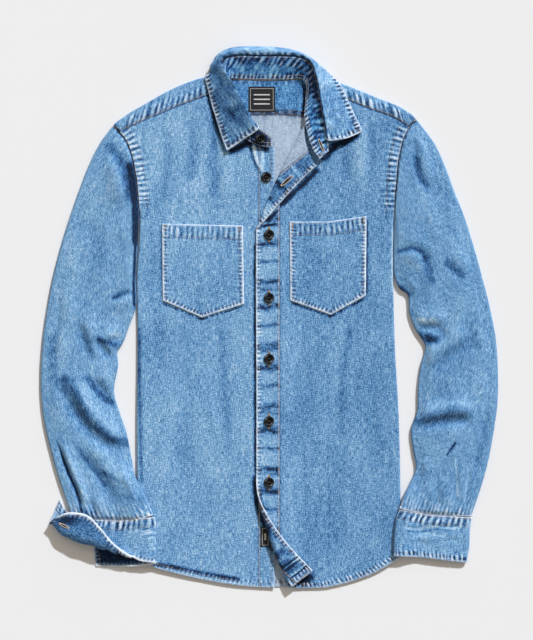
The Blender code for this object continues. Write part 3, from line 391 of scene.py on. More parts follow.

# Sewn strips: width, how far the turned cloth stands up, height and pitch of its puckers,
# their slant, strength of the pale and dark bars, tone of the whole strip (strongly negative on
# sunk seams as painted shade of their ditches), wear of its edge, how far the puckers pull the
# cloth beyond, and the rows of stitches with their thread.
STRIP_COLUMNS = ("width", "lift", "rope", "pitch", "slant", "bars", "shade", "worn", "pull",
                 "rows", "thread")
STRIPS = {
    "hem": (8.6, 0.7, 0.36, 5.9, 0.30, 1.3, 0.0, 1.0, 5, (6.9,), "tan"),
    "armhole": (13.2, 0.7, 0.40, 7.4, 0.0, 1.2, 0.1, 0.7, 5, (12.2,), "tan"),
    "yoke_end": (8.0, 0.5, 0.30, 6.5, 0.0, 0.8, -0.25, 0.2, 3, (), "tan"),
    "hem_flat": (8.6, 0.7, 0.36, 5.9, 0.30, 0.55, 0.2, 1.0, 5, (6.9,), "tan"),
    "under_edge": (5.6, 0.4, 0.14, 5.7, 0.1, 0.3, 0.0, 0.7, 3, (4.9,), "pale"),
    "yoke": (11.4, 0.7, 0.46, 10.0, 0.12, 1.3, -0.15, 0.4, 6, (1.5,), "tan"),
    "under_yoke": (1.6, -0.5, 0.16, 11.0, 0.0, 0.30, -1.0, 0.0, 6, (), "tan"),
    "back_yoke": (7.5, 0.4, 0.20, 12.0, 0.1, 0.50, -0.1, 0.3, 4, (1.6, 6.4), "tan"),
    "placket_edge": (5.6, 0.4, 0.26, 5.7, 0.1, 1.1, 0.1, 1.1, 3, (4.9,), "pale"),
    "placket_seam": (2.6, 0.25, 0.14, 6.4, 0.0, 0.35, -0.1, 0.5, 5, (1.5,), "pale"),
    "front_seam": (1.0, -0.2, 0.10, 9.0, 0.0, 0.2, -0.5, 0.1, 5, (), "pale"),
    "neck": (6.0, 0.2, 0.16, 9.0, 0.0, 0.3, -0.3, 0.3, 4, (), "tan"),
    "side": (9.0, 0.3, 0.2, 9.0, 0.1, 0.6, 0.0, 0.5, 4, (1.6, 7.6), "tan"),
    "pocket_side": (6.0, 0.5, 0.32, 5.4, 0.1, 1.2, 0.05, 1.5, 5, (5.2,), "brown"),
    "pocket_hem": (20.2, 0.5, 0.34, 7.6, 0.02, 0.6, -0.12, 1.0, 5, (19.0,), "pale"),
    "collar_edge": (7.6, 0.4, 0.36, 5.8, 0.15, 1.3, -0.1, 1.4, 4, (6.6,), "brown"),
    "collar_seam": (3.0, 0.0, 0.2, 11.0, 0.0, 0.5, -0.6, 0.0, 5, (), "tan"),
    "stand_top": (15.0, 0.0, 0.9, 8.4, 0.25, 0.7, -0.2, 0.1, 5, (1.4,), "pale"),
    "stand_foot": (7.5, 0.3, 0.40, 6.2, 0.1, 1.7, -0.1, 0.4, 4, (1.5, 6.6), "pale"),
    "stand_end": (6.0, 0.2, 0.26, 6.5, 0.1, 0.9, 0.0, 1.1, 4, (5.0,), "pale"),
    "sleeve_head": (1.9, -0.9, 0.30, 9.2, 0.0, 0.5, -1.4, 0.0, 9, (), "tan"),
    "sleeve_foot": (1.6, 0.2, 1.2, 7.0, 0.0, 1.6, 0.5, 1.3, 14, (), "tan"),
    "cuff_top": (13.6, 0.4, 0.42, 9.0, 0.1, 1.15, -0.15, 0.8, 5, (1.6, 12.8), "grey"),
    "cuff_hem": (8.4, 0.4, 0.36, 5.8, 0.15, 1.2, -0.1, 1.1, 7, (6.8,), "brown"),
    "cuff_free": (6.0, 0.6, 0.24, 5.8, 0.0, 0.8, 0.3, 2.0, 3, (5.0,), "brown"),
    "cuff_side": (8.0, 0.3, 0.28, 6.0, 0.1, 1.0, 0.0, 1.0, 6, (6.4,), "brown"),
}

STRIPS = {kind: dict(zip(STRIP_COLUMNS, values)) for kind, values in STRIPS.items()}

FADING_STRIPS = ("armhole", "yoke")     # these fade in over the first stretch of their line
STRIP_FADE = 15
GROOVE = 0.9                # half width of the groove that a row of stitches pulls

STITCH_LENGTH = 2.8
STITCH_PITCH = 3.5
THREAD = 0.3                # radius of the sewing thread
# the dark thread is no thread: near-black cords laid as painted shadow in the right armhole's seam
# and in the openings of the buttonholes
THREAD_COLOURS = {"tan": (0.34, 0.27, 0.21), "pale": (0.60, 0.58, 0.55),
                  "brown": (0.17, 0.14, 0.13), "grey": (0.33, 0.34, 0.36),
                  "gold": (0.46, 0.30, 0.15), "cream": (0.74, 0.62, 0.50),
                  "dark": (0.006, 0.010, 0.020)}
THREADS = {colour: [] for colour in THREAD_COLOURS}     # the stitches of each colour so far


# ---------------------------------------------------------------- numbers and curves

LATTICE = np.random.default_rng(11).random((256, 256))
SEED_SHIFT = (31.7, 17.3)   # each seed reads the lattice this much further on


def noise(x, y, seed=0):
    """Smooth noise from -1 to 1 over a lattice of unit squares."""
    x = np.asarray(x, float) + SEED_SHIFT[0] * seed
    y = np.asarray(y, float) + SEED_SHIFT[1] * seed
    ix, iy = np.floor(x).astype(int), np.floor(y).astype(int)
    fx, fy = x - ix, y - iy
    fx, fy = fx * fx * (3 - 2 * fx), fy * fy * (3 - 2 * fy)
    corner = [LATTICE[(ix + i) % 256, (iy + j) % 256] for j in (0, 1) for i in (0, 1)]
    low = corner[0] * (1 - fx) + corner[1] * fx
    high = corner[2] * (1 - fx) + corner[3] * fx
    return 2 * (low * (1 - fy) + high * fy) - 1


def smooth(low, high, value):
    """0 below low, 1 above high, and a smooth step between; low may be the greater."""
    t = np.clip((value - low) / (high - low), 0, 1)
    return t * t * (3 - 2 * t)


def rows(columns, table):
    """The rows of a table, each with its values under the names of the columns."""
    return [dict(zip(columns, row)) for row in table]


def lengths(line):
    """Distance along a line at each of its points."""
    return np.r_[0, np.cumsum(np.linalg.norm(np.diff(line, axis=0), axis=1))]


def even(line, step):
    """The same line with its points about step apart."""
    line = np.asarray(line, float)
    reach = lengths(line)
    places = np.linspace(0, reach[-1], max(2, round(reach[-1] / step) + 1))
    return np.stack([np.interp(places, reach, line[:, k]) for k in range(line.shape[1])], 1)


def spline(points, count):
    """A smooth curve through the points, as count points evenly spaced along it."""
    pts = np.array(points, float)
    knots = np.r_[0, np.cumsum(np.sqrt(np.linalg.norm(np.diff(pts, axis=0), axis=1)))]
    slopes = np.gradient(pts, knots, axis=0, edge_order=1)
    t = np.linspace(0, 1, 24, endpoint=False)[:, None]
    fine = [hermite(pts[k], pts[k + 1], slopes[k] * span, slopes[k + 1] * span, t)
            for k, span in enumerate(np.diff(knots))]
    fine = np.vstack(fine + [pts[-1:]])
    reach = lengths(fine)
    places = np.linspace(0, reach[-1], count)
    return np.stack([np.interp(places, reach, fine[:, k]) for k in range(pts.shape[1])], 1)


def hermite(a, b, slope_a, slope_b, t):
    """Points of the cubic from a to b with the given slopes."""
    return ((2 * t ** 3 - 3 * t ** 2 + 1) * a + (t ** 3 - 2 * t ** 2 + t) * slope_a
            + (3 * t ** 2 - 2 * t ** 3) * b + (t ** 3 - t ** 2) * slope_b)


def curve(points, step=STEP):
    """A smooth curve through the points, with its own points about step apart."""
    return even(spline(points, 400), step)


def height_at(points, x):
    """Y of a curve where it crosses x."""
    fine = spline(points, 200)
    fine = fine[np.argsort(fine[:, 0])]
    return float(np.interp(x, fine[:, 0], fine[:, 1]))


def level_points(points, xs):
    """Points of a curve where it crosses each x."""
    return [(x, height_at(points, x)) for x in xs]


def offset(line, distance):
    """A line moved to its left, mitred at its corners."""
    steps = np.diff(line, axis=0)
    steps /= np.maximum(np.linalg.norm(steps, axis=1, keepdims=True), 1e-9)
    left = np.stack([-steps[:, 1], steps[:, 0]], 1)
    before, after = np.vstack([left[:1], left]), np.vstack([left, left[-1:]])
    middle = before + after
    middle /= np.maximum(np.sum(middle * before, axis=1, keepdims=True), 0.3)
    return line + distance * middle


def beside(line, points):
    """For each point its signed distance to the left of a line, and how far along it lies."""
    best = np.full(len(points), np.inf)
    sign, along = np.ones(len(points)), np.zeros(len(points))
    reach = lengths(line)
    for k in range(len(line) - 1):
        step = line[k + 1] - line[k]
        size = max(float(np.linalg.norm(step)), 1e-9)
        gap = points - line[k]
        t = np.clip(gap @ step / size ** 2, 0, 1)
        far = np.linalg.norm(gap - t[:, None] * step, axis=1)
        closer = far < best - 1e-9
        best[closer] = far[closer]
        sign[closer] = np.sign(step[0] * gap[closer, 1] - step[1] * gap[closer, 0])
        along[closer] = reach[k] + t[closer] * size
    return best * np.where(sign == 0, 1, sign), along


# Lines of both sides of the body, -1 for the wearer's right and 1 for the left
NECKS = {-1: NECK_RIGHT, 1: NECK_LEFT}
HEMS = {-1: HEM_RIGHT, 1: HEM_LEFT}
FEET = {-1: HEM_RIGHT[0][1], 1: HEM_LEFT[-1][1]}        # y at which each side edge ends
SHOULDER = spline(SHOULDER_EDGE, 400)
SIDES = {-1: spline(SIDE_EDGE_RIGHT, 300), 1: spline(SIDE_EDGE_LEFT, 300)}
ARMHOLES = {-1: curve(ARMHOLE_RIGHT), 1: curve(ARMHOLE_LEFT)}
YOKE_SEAMS = {-1: curve(YOKE_SEAM_RIGHT), 1: curve(YOKE_SEAM_LEFT)}
UNDERARM = {-1: ARMHOLE_RIGHT[-1][1], 1: ARMHOLE_LEFT[-1][1]}


def shoulder_y(x):
    """Y of the shoulder fold at x."""
    return np.interp(x, SHOULDER[:, 0], SHOULDER[:, 1])


def side_x(y, side):
    """X of the body's folded side at y; side is -1 for the right one and 1 for the left."""
    return np.interp(y, SIDES[side][:, 1], SIDES[side][:, 0])


def armhole_x(y, side):
    """X of the armhole seam at y."""
    line = ARMHOLES[side][::-1]
    return np.interp(y, line[:, 1], line[:, 0])


# ---------------------------------------------------------------- where the cloth lies

def column(*values):
    """Coordinates, each an array or one number, as an array of points."""
    return np.stack(np.broadcast_arrays(*values), 1).astype(float)


def front_height(x, y):
    """Height at which the right front lies, and most of the left one."""
    side = np.where(x < 0, -1, 1)
    low = np.minimum(y, UNDERARM[1])
    edge = np.where(x < 0, side_x(low, -1), side_x(low, 1))
    middle = smooth(*SIDE_FALL, side * (edge - x)) * smooth(*SHOULDER_FALL, shoulder_y(x) - y)
    return 2 * SIDE_RADIUS - (2 * SIDE_RADIUS - MID_HEIGHT) * middle


def left_height(x, y):
    """Height at which the left front lies, lifted where it laps over the right one."""
    return np.maximum(front_height(x, y), MID_HEIGHT + LEFT_LIFT * (1 - smooth(*LAP_FADE, x)))


def roll_under(flat, side, height):
    """Lay a front at a height, rolled round its side edge and on under the body."""
    x, y = flat.T
    edge = side_x(y, side)
    past = side * (x - edge) + SIDE_RADIUS
    angle = np.clip(past / SIDE_RADIUS, 0, math.pi)
    turned = edge + side * SIDE_RADIUS * (np.sin(angle) - 1)
    under = edge - side * (past - math.pi * SIDE_RADIUS + SIDE_RADIUS)
    top = (past <= 0) | (y > UNDERARM[side] + 1)
    low = past >= math.pi * SIDE_RADIUS
    z = np.where(low, 0, SIDE_RADIUS * (1 + np.cos(angle)))
    return column(np.where(top, x, np.where(low, under, turned)), y,
                  np.where(top, height(x, y), z))


def fold_line(turn):
    """Where a fold line starts, and the direction across it towards what is turned."""
    start = np.array(turn["start"], float)
    along = np.array(turn["end"], float) - start
    across = np.array([-along[1], along[0]]) / np.linalg.norm(along)
    return start, across if across[0] < 0 else -across


def past_fold(turn, flat):
    """How far flat points lie past where a fold begins; the fold is bowed between its ends."""
    start, across = fold_line(turn)
    along = np.array(turn["end"], float) - start
    share = np.clip((flat - start) @ along / (along @ along), 0, 1)
    return ((flat - start) @ across + turn["radius"] + BAND_CLOTH
            - turn["bow"] * np.sin(math.pi * share))


def turned_back(flat):
    """Whether flat points of the left front lie on one of its two turned corners."""
    found = np.zeros(len(flat), bool)
    for turn, here in ((TURN_NECK, flat[:, 1] > 0), (TURN_TAIL, flat[:, 1] <= 0)):
        found |= here & (past_fold(turn, flat) > 0)
    return found


def turn_back(flat, laid, turn, here):
    """Turn what lies beyond a fold line up and over, in the rows of laid that here names."""
    across, radius = fold_line(turn)[1], turn["radius"]
    past = past_fold(turn, flat)
    angle = np.clip(past / radius, 0, math.pi)
    shift = np.where(past < math.pi * radius, radius * np.sin(angle) - past,
                     math.pi * radius - 2 * past)
    landed = flat + shift[:, None] * across
    z = left_height(*landed.T) + radius * (1 - np.cos(angle))
    turned = here & (past > 0)
    laid[turned] = column(*landed.T, z)[turned]
    return laid


def lay_right(flat):
    """Lay the right front or its placket."""
    return roll_under(flat, -1, front_height)


def lay_left(flat):
    """Lay the left front or its placket, with their two turned corners."""
    laid = roll_under(flat, 1, left_height)
    laid = turn_back(flat, laid, TURN_NECK, flat[:, 1] > 0)
    return turn_back(flat, laid, TURN_TAIL, flat[:, 1] <= 0)


def lay_yoke(flat):
    """Lay the yoke on the ground, and rolled over the shoulder fold on to the fronts."""
    x, y = flat.T
    edge = shoulder_y(x)
    past = y - edge + SIDE_RADIUS
    angle = np.clip(past / SIDE_RADIUS, 0, math.pi)
    turned = edge + SIDE_RADIUS * (np.sin(angle) - 1)
    over = edge - SIDE_RADIUS - (past - math.pi * SIDE_RADIUS)
    return column(x, np.where(past <= 0, y, np.where(past < math.pi * SIDE_RADIUS, turned, over)),
                  SIDE_RADIUS * (1 - np.cos(angle)))


def lay_back(flat):
    """Lay the back flat on the ground."""
    return column(flat[:, 0], flat[:, 1], 0)


# ---------------------------------------------------------------- creases and sewn strips

CREASE_FADE = 0.3           # share of a crease's length over which each end fades out
CREASE_RIDGE = (2.1, 1.7)   # middle and half width of its ridge, in its own half widths
CREASE_DARK = (0.6, 1.1)    # and of the dark in its hollow
# Unevenness of the cloth: height, size across and along the warp, and seed
BODY_UNEVEN = [(0.34, 26, 120, 1), (0.22, 52, 48, 2), (0.12, 11, 17, 3)]
PLACKET_UNEVEN = [(0.32, 60, 11, 8), (0.15, 9, 30, 9)]
TUBE_UNEVEN = [(0.55, 34, 52, 4), (0.35, 15, 26, 6)]
BODY_LEAST, BODY_MOST = -1.3, 1.6       # the drape of the body stays between these


def uneven(x, y, table):
    """Height of a soft unevenness."""
    return sum(height * noise(x / across, y / along, seed)
               for height, across, along, seed in table)


def creases(table, x, y):
    """Height of the creases at points seen from above, and the painted shade of their hollows."""
    points = np.stack([x, y], 1)
    height, dark = np.zeros((2, len(points)))
    for crease in rows(CREASE_COLUMNS, table):
        line = spline(crease["route"], 24)
        left, along = beside(line, points)
        reach, width = lengths(line)[-1], crease["width"]
        end = CREASE_FADE * reach
        fade = smooth(0, end, along) * smooth(0, end, reach - along)
        fade = fade * (0.85 + 0.25 * noise(along / 23, 0, width))
        up = left if crease["ridge"] > 0 else -left
        height -= crease["depth"] * fade * np.exp(-(left / width) ** 2)
        ridge, hollow = (np.exp(-((up - middle * width) / (half * width)) ** 2)
                         for middle, half in (CREASE_RIDGE, CREASE_DARK))
        height += abs(crease["ridge"]) * fade * ridge
        # painted shade in the hollow, moved towards the ridge by CREASE_DARK
        dark -= crease["depth"] * fade * hollow
    return height, dark


def body_drape(x, y):
    """Creases and unevenness of the laid body, the same for every layer at a place."""
    return np.clip(creases(CREASES_BODY, x, y)[0] + uneven(x, y, BODY_UNEVEN),
                   BODY_LEAST, BODY_MOST)


def strip_effect(kind, distance, along, seed):
    """What a sewn strip adds at a distance inside its edge: height, tone and wear."""
    strip = STRIPS[kind]
    width = strip["width"]
    # On the strip, on the cloth that it pulls beyond it, and clear of a worn edge
    on = smooth(-0.6, 0.4, distance) * (1 - smooth(width - 0.5, width + 0.9, distance))
    beyond = np.where(distance > width, np.exp(-(distance - width) / strip["pull"]), 0)
    clear = smooth(0.9, 2.2, distance) if strip["worn"] >= 0.9 else 1
    if kind in FADING_STRIPS:
        on, beyond = (part * smooth(0, STRIP_FADE, along) for part in (on, beyond))
    # The puckers: slanted waves that are unevenly spaced, deep and rough
    phase = 2 * math.pi * along / strip["pitch"] + 2.4 * noise(along / 19, 0, seed)
    phase = phase + strip["slant"] * distance + 0.6 * noise(along / 8, distance / 8, seed + 1)
    patch = noise(along / (0.9 * strip["pitch"]), distance / 7, seed + 3)
    wave = np.tanh(1.6 * np.sin(phase)) * np.clip(0.95 + 0.8 * patch, 0.1, 1.5)
    wave = wave + 0.4 * noise(along / 2.6, distance / 3.4, seed + 5)
    height = on * (strip["lift"] + strip["rope"] * wave) + beyond * 0.6 * strip["rope"] * wave
    tone = strip["bars"] * (on * clear * (0.85 * wave - 0.1) + 0.45 * beyond * wave)
    # the strip's own tone: strongly negative on sunk seams, as painted shade of their ditches
    tone = tone + on * clear * strip["shade"]
    # each row of stitches sinks a groove and darkens it, as painted shade in the groove
    for row in strip["rows"]:
        groove = np.exp(-((distance - row) / GROOVE) ** 2)
        height -= 0.4 * groove
        tone -= 0.55 * groove
    near = np.exp(-(np.maximum(distance, 0) / (0.6 + 0.8 * strip["worn"])) ** 2) * (distance > -1)
    worn = strip["worn"] * near * (0.85 + 0.4 * noise(along / 5, 0, seed + 7))
    worn += 0.32 * strip["bars"] * np.maximum(on * clear * wave, 0) ** 2
    if kind == "sleeve_foot":
        worn += 0.7 * beyond ** 1.5 * np.maximum(wave, 0) ** 2
    return height, tone, worn


def add_strips(seed, shape, placed):
    """What all the sewn strips of a piece add, from the distance inside and along each."""
    height, tone, worn = np.zeros((3, *shape))
    for number, (kind, distance, along) in enumerate(placed):
        added = strip_effect(kind, distance, along, seed + number)
        height, tone, worn = height + added[0], tone + added[1], np.maximum(worn, added[2])
    return height, tone, worn


def shade(table, x, y):
    """Painted shade at points seen from above; a negative depth paints a highlight."""
    points = np.stack([x, y], 1)
    dark = np.zeros(len(points))
    for mark in rows(SHADE_COLUMNS, table):
        line = spline(mark["route"], 24) if len(mark["route"]) > 3 else even(mark["route"], 4)
        across, along = beside(line, points)
        taper = smooth(-1, 8, along) * smooth(-1, 8, lengths(line)[-1] - along)
        fade = taper * (0.85 + 0.3 * noise(along / 9, 0, mark["width"]))
        dark -= mark["depth"] * fade * np.exp(-np.abs(across / mark["width"]) ** 3)
    return dark


def over_grid(effect, table, points):
    """The shades or creases of a table over a grid of points."""
    x, y = points[:, :, 0], points[:, :, 1]
    return np.reshape(effect(table, x.ravel(), y.ravel()), (-1, *x.shape))


def spot(points, place, reach):
    """A soft spot over a grid of points seen from above."""
    x, y = ((points[:, :, k] - place[k]) / reach[k] for k in (0, 1))
    return np.exp(-x ** 2 - y ** 2)


# ---------------------------------------------------------------- meshes of cloth

def inside(outline, points):
    """Whether points lie inside a closed outline."""
    found = np.zeros(len(points), bool)
    for (ax, ay), (bx, by) in zip(outline, np.roll(outline, -1, axis=0)):
        if ay != by:
            crosses = (ay > points[:, 1]) != (by > points[:, 1])
            found ^= crosses & (points[:, 0] < (bx - ax) * (points[:, 1] - ay) / (by - ay) + ax)
    return found


def stretch(points, bends, sign):
    """Widen, or narrow back, the strip of pattern that each bend takes up."""
    points = np.array(points, float)
    for past, direction, arc in bends[::sign]:
        distance = past(points) / (1 if sign > 0 else 1 + BEND_GAIN)
        points += sign * (BEND_GAIN * np.clip(distance, 0, arc))[:, None] * np.array(direction)
    return points


def spread(outline, lines, step, bends):
    """Points over a flat outline: its edge first, then rows along lines, then an even field."""
    wide = stretch(outline, bends, 1)
    extra = np.vstack(lines) if lines else np.zeros((0, 2))
    extra = stretch(extra[inside(outline, extra)], bends, 1)
    low, high = wide.min(axis=0), wide.max(axis=0)
    field = []
    for n in range(int((high[1] - low[1]) / (ROW_RISE * step)) + 1):
        xs = np.arange(low[0] + (n % 2) * step / 2, high[0], step)
        field.append(column(xs, low[1] + ROW_RISE * step * n))
    field = np.vstack(field)
    field = field[inside(wide, field)]
    kept = list(wide)
    for candidates, room in ((extra, 0.3), (field, 0.62 * step)):
        tree = KDTree(len(kept))
        for k, point in enumerate(kept):
            tree.insert((*point, 0), k)
        tree.balance()
        kept += [p for p in candidates if tree.find((*p, 0))[2] > room]
    ring = list(range(len(wide)))
    flip = np.sum(wide[:, 0] * np.roll(wide[:, 1], -1) - np.roll(wide[:, 0], -1) * wide[:, 1]) < 0
    made = delaunay_2d_cdt([Vector(p) for p in kept], [], [ring[::-1] if flip else ring], 1, 1e-6)
    return stretch(np.array([tuple(p) for p in made[0]]), bends, -1), [list(f) for f in made[2]]


def linked(name, data):
    """A new object of the scene."""
    made = bpy.data.objects.new(name, data)
    bpy.context.scene.collection.objects.link(made)
    return made


def mesh_of(name, points, faces, materials):
    """A mesh from points in millimetres."""
    mesh = bpy.data.meshes.new(name)
    mesh.from_pydata((points * MM).tolist(), [], faces)
    for material in materials:
        mesh.materials.append(material)
    return mesh


def declare(piece, node=None):
    """Ride on the body, and stand for a solid, if there is one."""
    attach(piece, "root")
    if node:
        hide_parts(node)
    return piece


def shell(name, outer, inner, faces, grain, tone, worn, materials, flip, blue=None):
    """A closed thin shell from its two faces, with what its shader reads at each point.

    The inner face has the last material, but the first where blue says so. The wear of the
    edges shows on it only on the pieces that are turned back.
    """
    count = len(outer)
    sided = set()
    for face in faces:
        sided.update(zip(face, face[1:] + face[:1]))
    rim = [[b, a, a + count, b + count] for a, b in sided if (b, a) not in sided]
    polygons = [list(face) for face in faces]
    polygons += [[v + count for v in reversed(face)] for face in faces] + rim
    if flip:
        polygons = [face[::-1] for face in polygons]
    mesh = mesh_of(name, np.vstack([outer, inner]), polygons, materials)
    index = np.zeros(len(polygons), np.int32)
    index[len(faces):2 * len(faces)] = len(materials) - 1
    if blue is not None:
        index[len(faces):2 * len(faces)][np.array(blue)] = 0
    mesh.polygons.foreach_set("material_index", index)
    mesh.shade_smooth()
    mesh.set_sharp_from_angle(angle=math.radians(70))
    flat = np.column_stack([grain, np.zeros(count)])
    put(mesh, "grain", "FLOAT_VECTOR", "vector", np.vstack([flat, flat + (53, 29, 0)]))
    put(mesh, "tone", "FLOAT", "value", np.r_[tone, tone])
    below = 1.0 if name.startswith(TURNED_PIECES) else 0.25
    put(mesh, "worn", "FLOAT", "value", np.r_[worn, below * worn])
    return linked(name, mesh)


def put(mesh, name, kind, field, values):
    """Store values at a mesh's points under a name that its shader reads."""
    layer = mesh.attributes.new(name, kind, "POINT")
    layer.data.foreach_set(field, np.ascontiguousarray(values, np.float32).ravel())


def rounding(distance, wall):
    """How far a face draws back near the rim, so that the cloth ends in a round edge."""
    t = np.clip(1 - distance / EDGE_ROUND, 0, 1)
    return 0.42 * wall * (1 - np.sqrt(np.maximum(1 - t ** 2, 0)))


ON_TOP = (1.0, 3.4)         # height over which cloth comes to lie on top, where it is creased
STAYED = 2.5                # a point laid nearer to its flat place than this isn't turned


class Panel:
    """A piece of cloth cut to a flat outline, laid by a function of its flat points.

    Its seams are kinds of strip, each with its line and the side of it that the cloth is on.
    A drape adds height, shades add painted shade and highlights to its tone, a paint adds more
    tone, and bends are where it is folded.
    """

    def __init__(self, name, outline, lay, wall, seams, drape=body_drape, bends=(), step=STEP,
                 shades=(), tint=0.0, paint=None):
        self.name, self.lay, self.wall, self.shades = name, lay, wall, shades
        self.tint, self.paint = tint, paint
        self.outline = np.array(outline, float)
        self.seams = [(kind, np.array(line, float), side) for kind, line, side in seams]
        self.drape, self.bends, self.step = drape, list(bends), step
        self.seed, self.rows = sum(map(ord, name)) % 50, []

    def fields(self, flat):
        """Height, tone and wear that the seams add at flat points."""
        placed = []
        for kind, line, side in self.seams:
            distance, along = beside(line, flat)
            placed.append((kind, side * distance, along))
        height, tone, worn = add_strips(self.seed, (len(flat),), placed)
        return height, np.clip(tone, -1.1, 1.1), worn

    def place(self, flat, face=1, proud=0.0):
        """Points of the outer face, or of the inner one for face -1, and their normals."""
        flat = np.asarray(flat, float)
        east = self.lay(flat + (NUDGE, 0)) - self.lay(flat - (NUDGE, 0))
        north = self.lay(flat + (0, NUDGE)) - self.lay(flat - (0, NUDGE))
        normal = np.cross(east, north) * math.copysign(1, self.wall)
        normal /= np.linalg.norm(normal, axis=1, keepdims=True)
        base = self.lay(flat)
        height, tone, worn = self.fields(flat)
        on_top = smooth(*ON_TOP, base[:, 2])
        sway = self.drape(base[:, 0], base[:, 1])
        grounded = (1 - on_top) * np.clip(-normal[:, 2], 0, 1)
        dent = 0.45 + 0.35 * np.abs(noise(flat[:, 0] / 31, flat[:, 1] / 47, 5))
        if face > 0:
            push = height * (1 - 0.8 * grounded) - grounded * dent
        else:
            push = -abs(self.wall) - 0.5 * height * (1 - grounded) - grounded * dent * 0.8
        points = base + normal * (push + face * proud)[:, None]
        points[:, 2] += on_top * sway
        points[:, 2] = np.maximum(points[:, 2], GROUND)
        still = np.linalg.norm(base[:, :2] - flat, axis=1) < STAYED
        if self.lay is lay_left:
            still &= ~turned_back(flat)
        # raised drape is lighter and sunk drape darker: wear on the ridges, painted shade in the
        # hollows
        tone = tone + self.tint + 0.30 * on_top * sway
        if self.paint:
            tone = tone + self.paint(flat, ~still)
        # painted shade and highlights, only where the cloth lies unturned
        if face > 0 and self.shades:
            tone = tone + still * shade(self.shades, base[:, 0], base[:, 1])
        return points, normal * face, tone, worn

    def build(self, materials):
        """Make the shell, with closer points along its seams and shades, and stitch it."""
        lines = [offset(even(np.vstack([self.outline, self.outline[:1]]), 1.7), side * d)
                 for side in (1, -1) for d in EDGE_ROWS]
        for kind, line, side in self.seams:
            width = STRIPS[kind]["width"]
            lines += [offset(even(line, 1.7), side * d)
                      for d in (width - 0.8, width + 0.8, width * 0.5) if d > 1.5]
        lines += [even(line, 1.4) for line in self.rows]
        for mark in rows(SHADE_COLUMNS, self.shades):
            if mark["width"] < NARROW_SHADE:
                route = even(spline(mark["route"], 60), 1.8)
                lines += [offset(route, share * mark["width"])
                          for share in (-0.95, -0.4, 0.4, 0.95)]
        flat, faces = spread(self.outline, lines, self.step, self.bends)
        outer, normal, tone, worn = self.place(flat)
        inner, _, _, _ = self.place(flat, -1)
        rim = np.abs(beside(np.vstack([self.outline, self.outline[:1]]), flat)[0])
        draw = rounding(rim, abs(self.wall))[:, None] * normal
        blue = None
        if self.name == "front_left":
            blue = [flat[face[0], 1] < -230 and flat[face[0], 0] < 60 for face in faces]
        self.piece = shell(f"{self.name}_cloth", outer - draw, inner + draw, faces, flat, tone,
                           worn, materials, self.wall < 0, blue)
        settle(self.piece, self.name)
        self.sew()
        return self

    def sew(self):
        """Stitch the rows of each seam, on both faces."""
        for kind, line, side in self.seams:
            for row in STRIPS[kind]["rows"]:
                path = offset(even(line, 1.2), side * row)
                path = path[inside(self.outline, path)]
                if len(path) > 4:
                    for face in (1, -1):
                        points, normal, _, _ = self.place(path, face, 0.1)
                        stitch(points, normal, STRIPS[kind]["thread"])


def settle(piece, node):
    """Ride on the body and stand for the solid."""
    declare(piece, node)


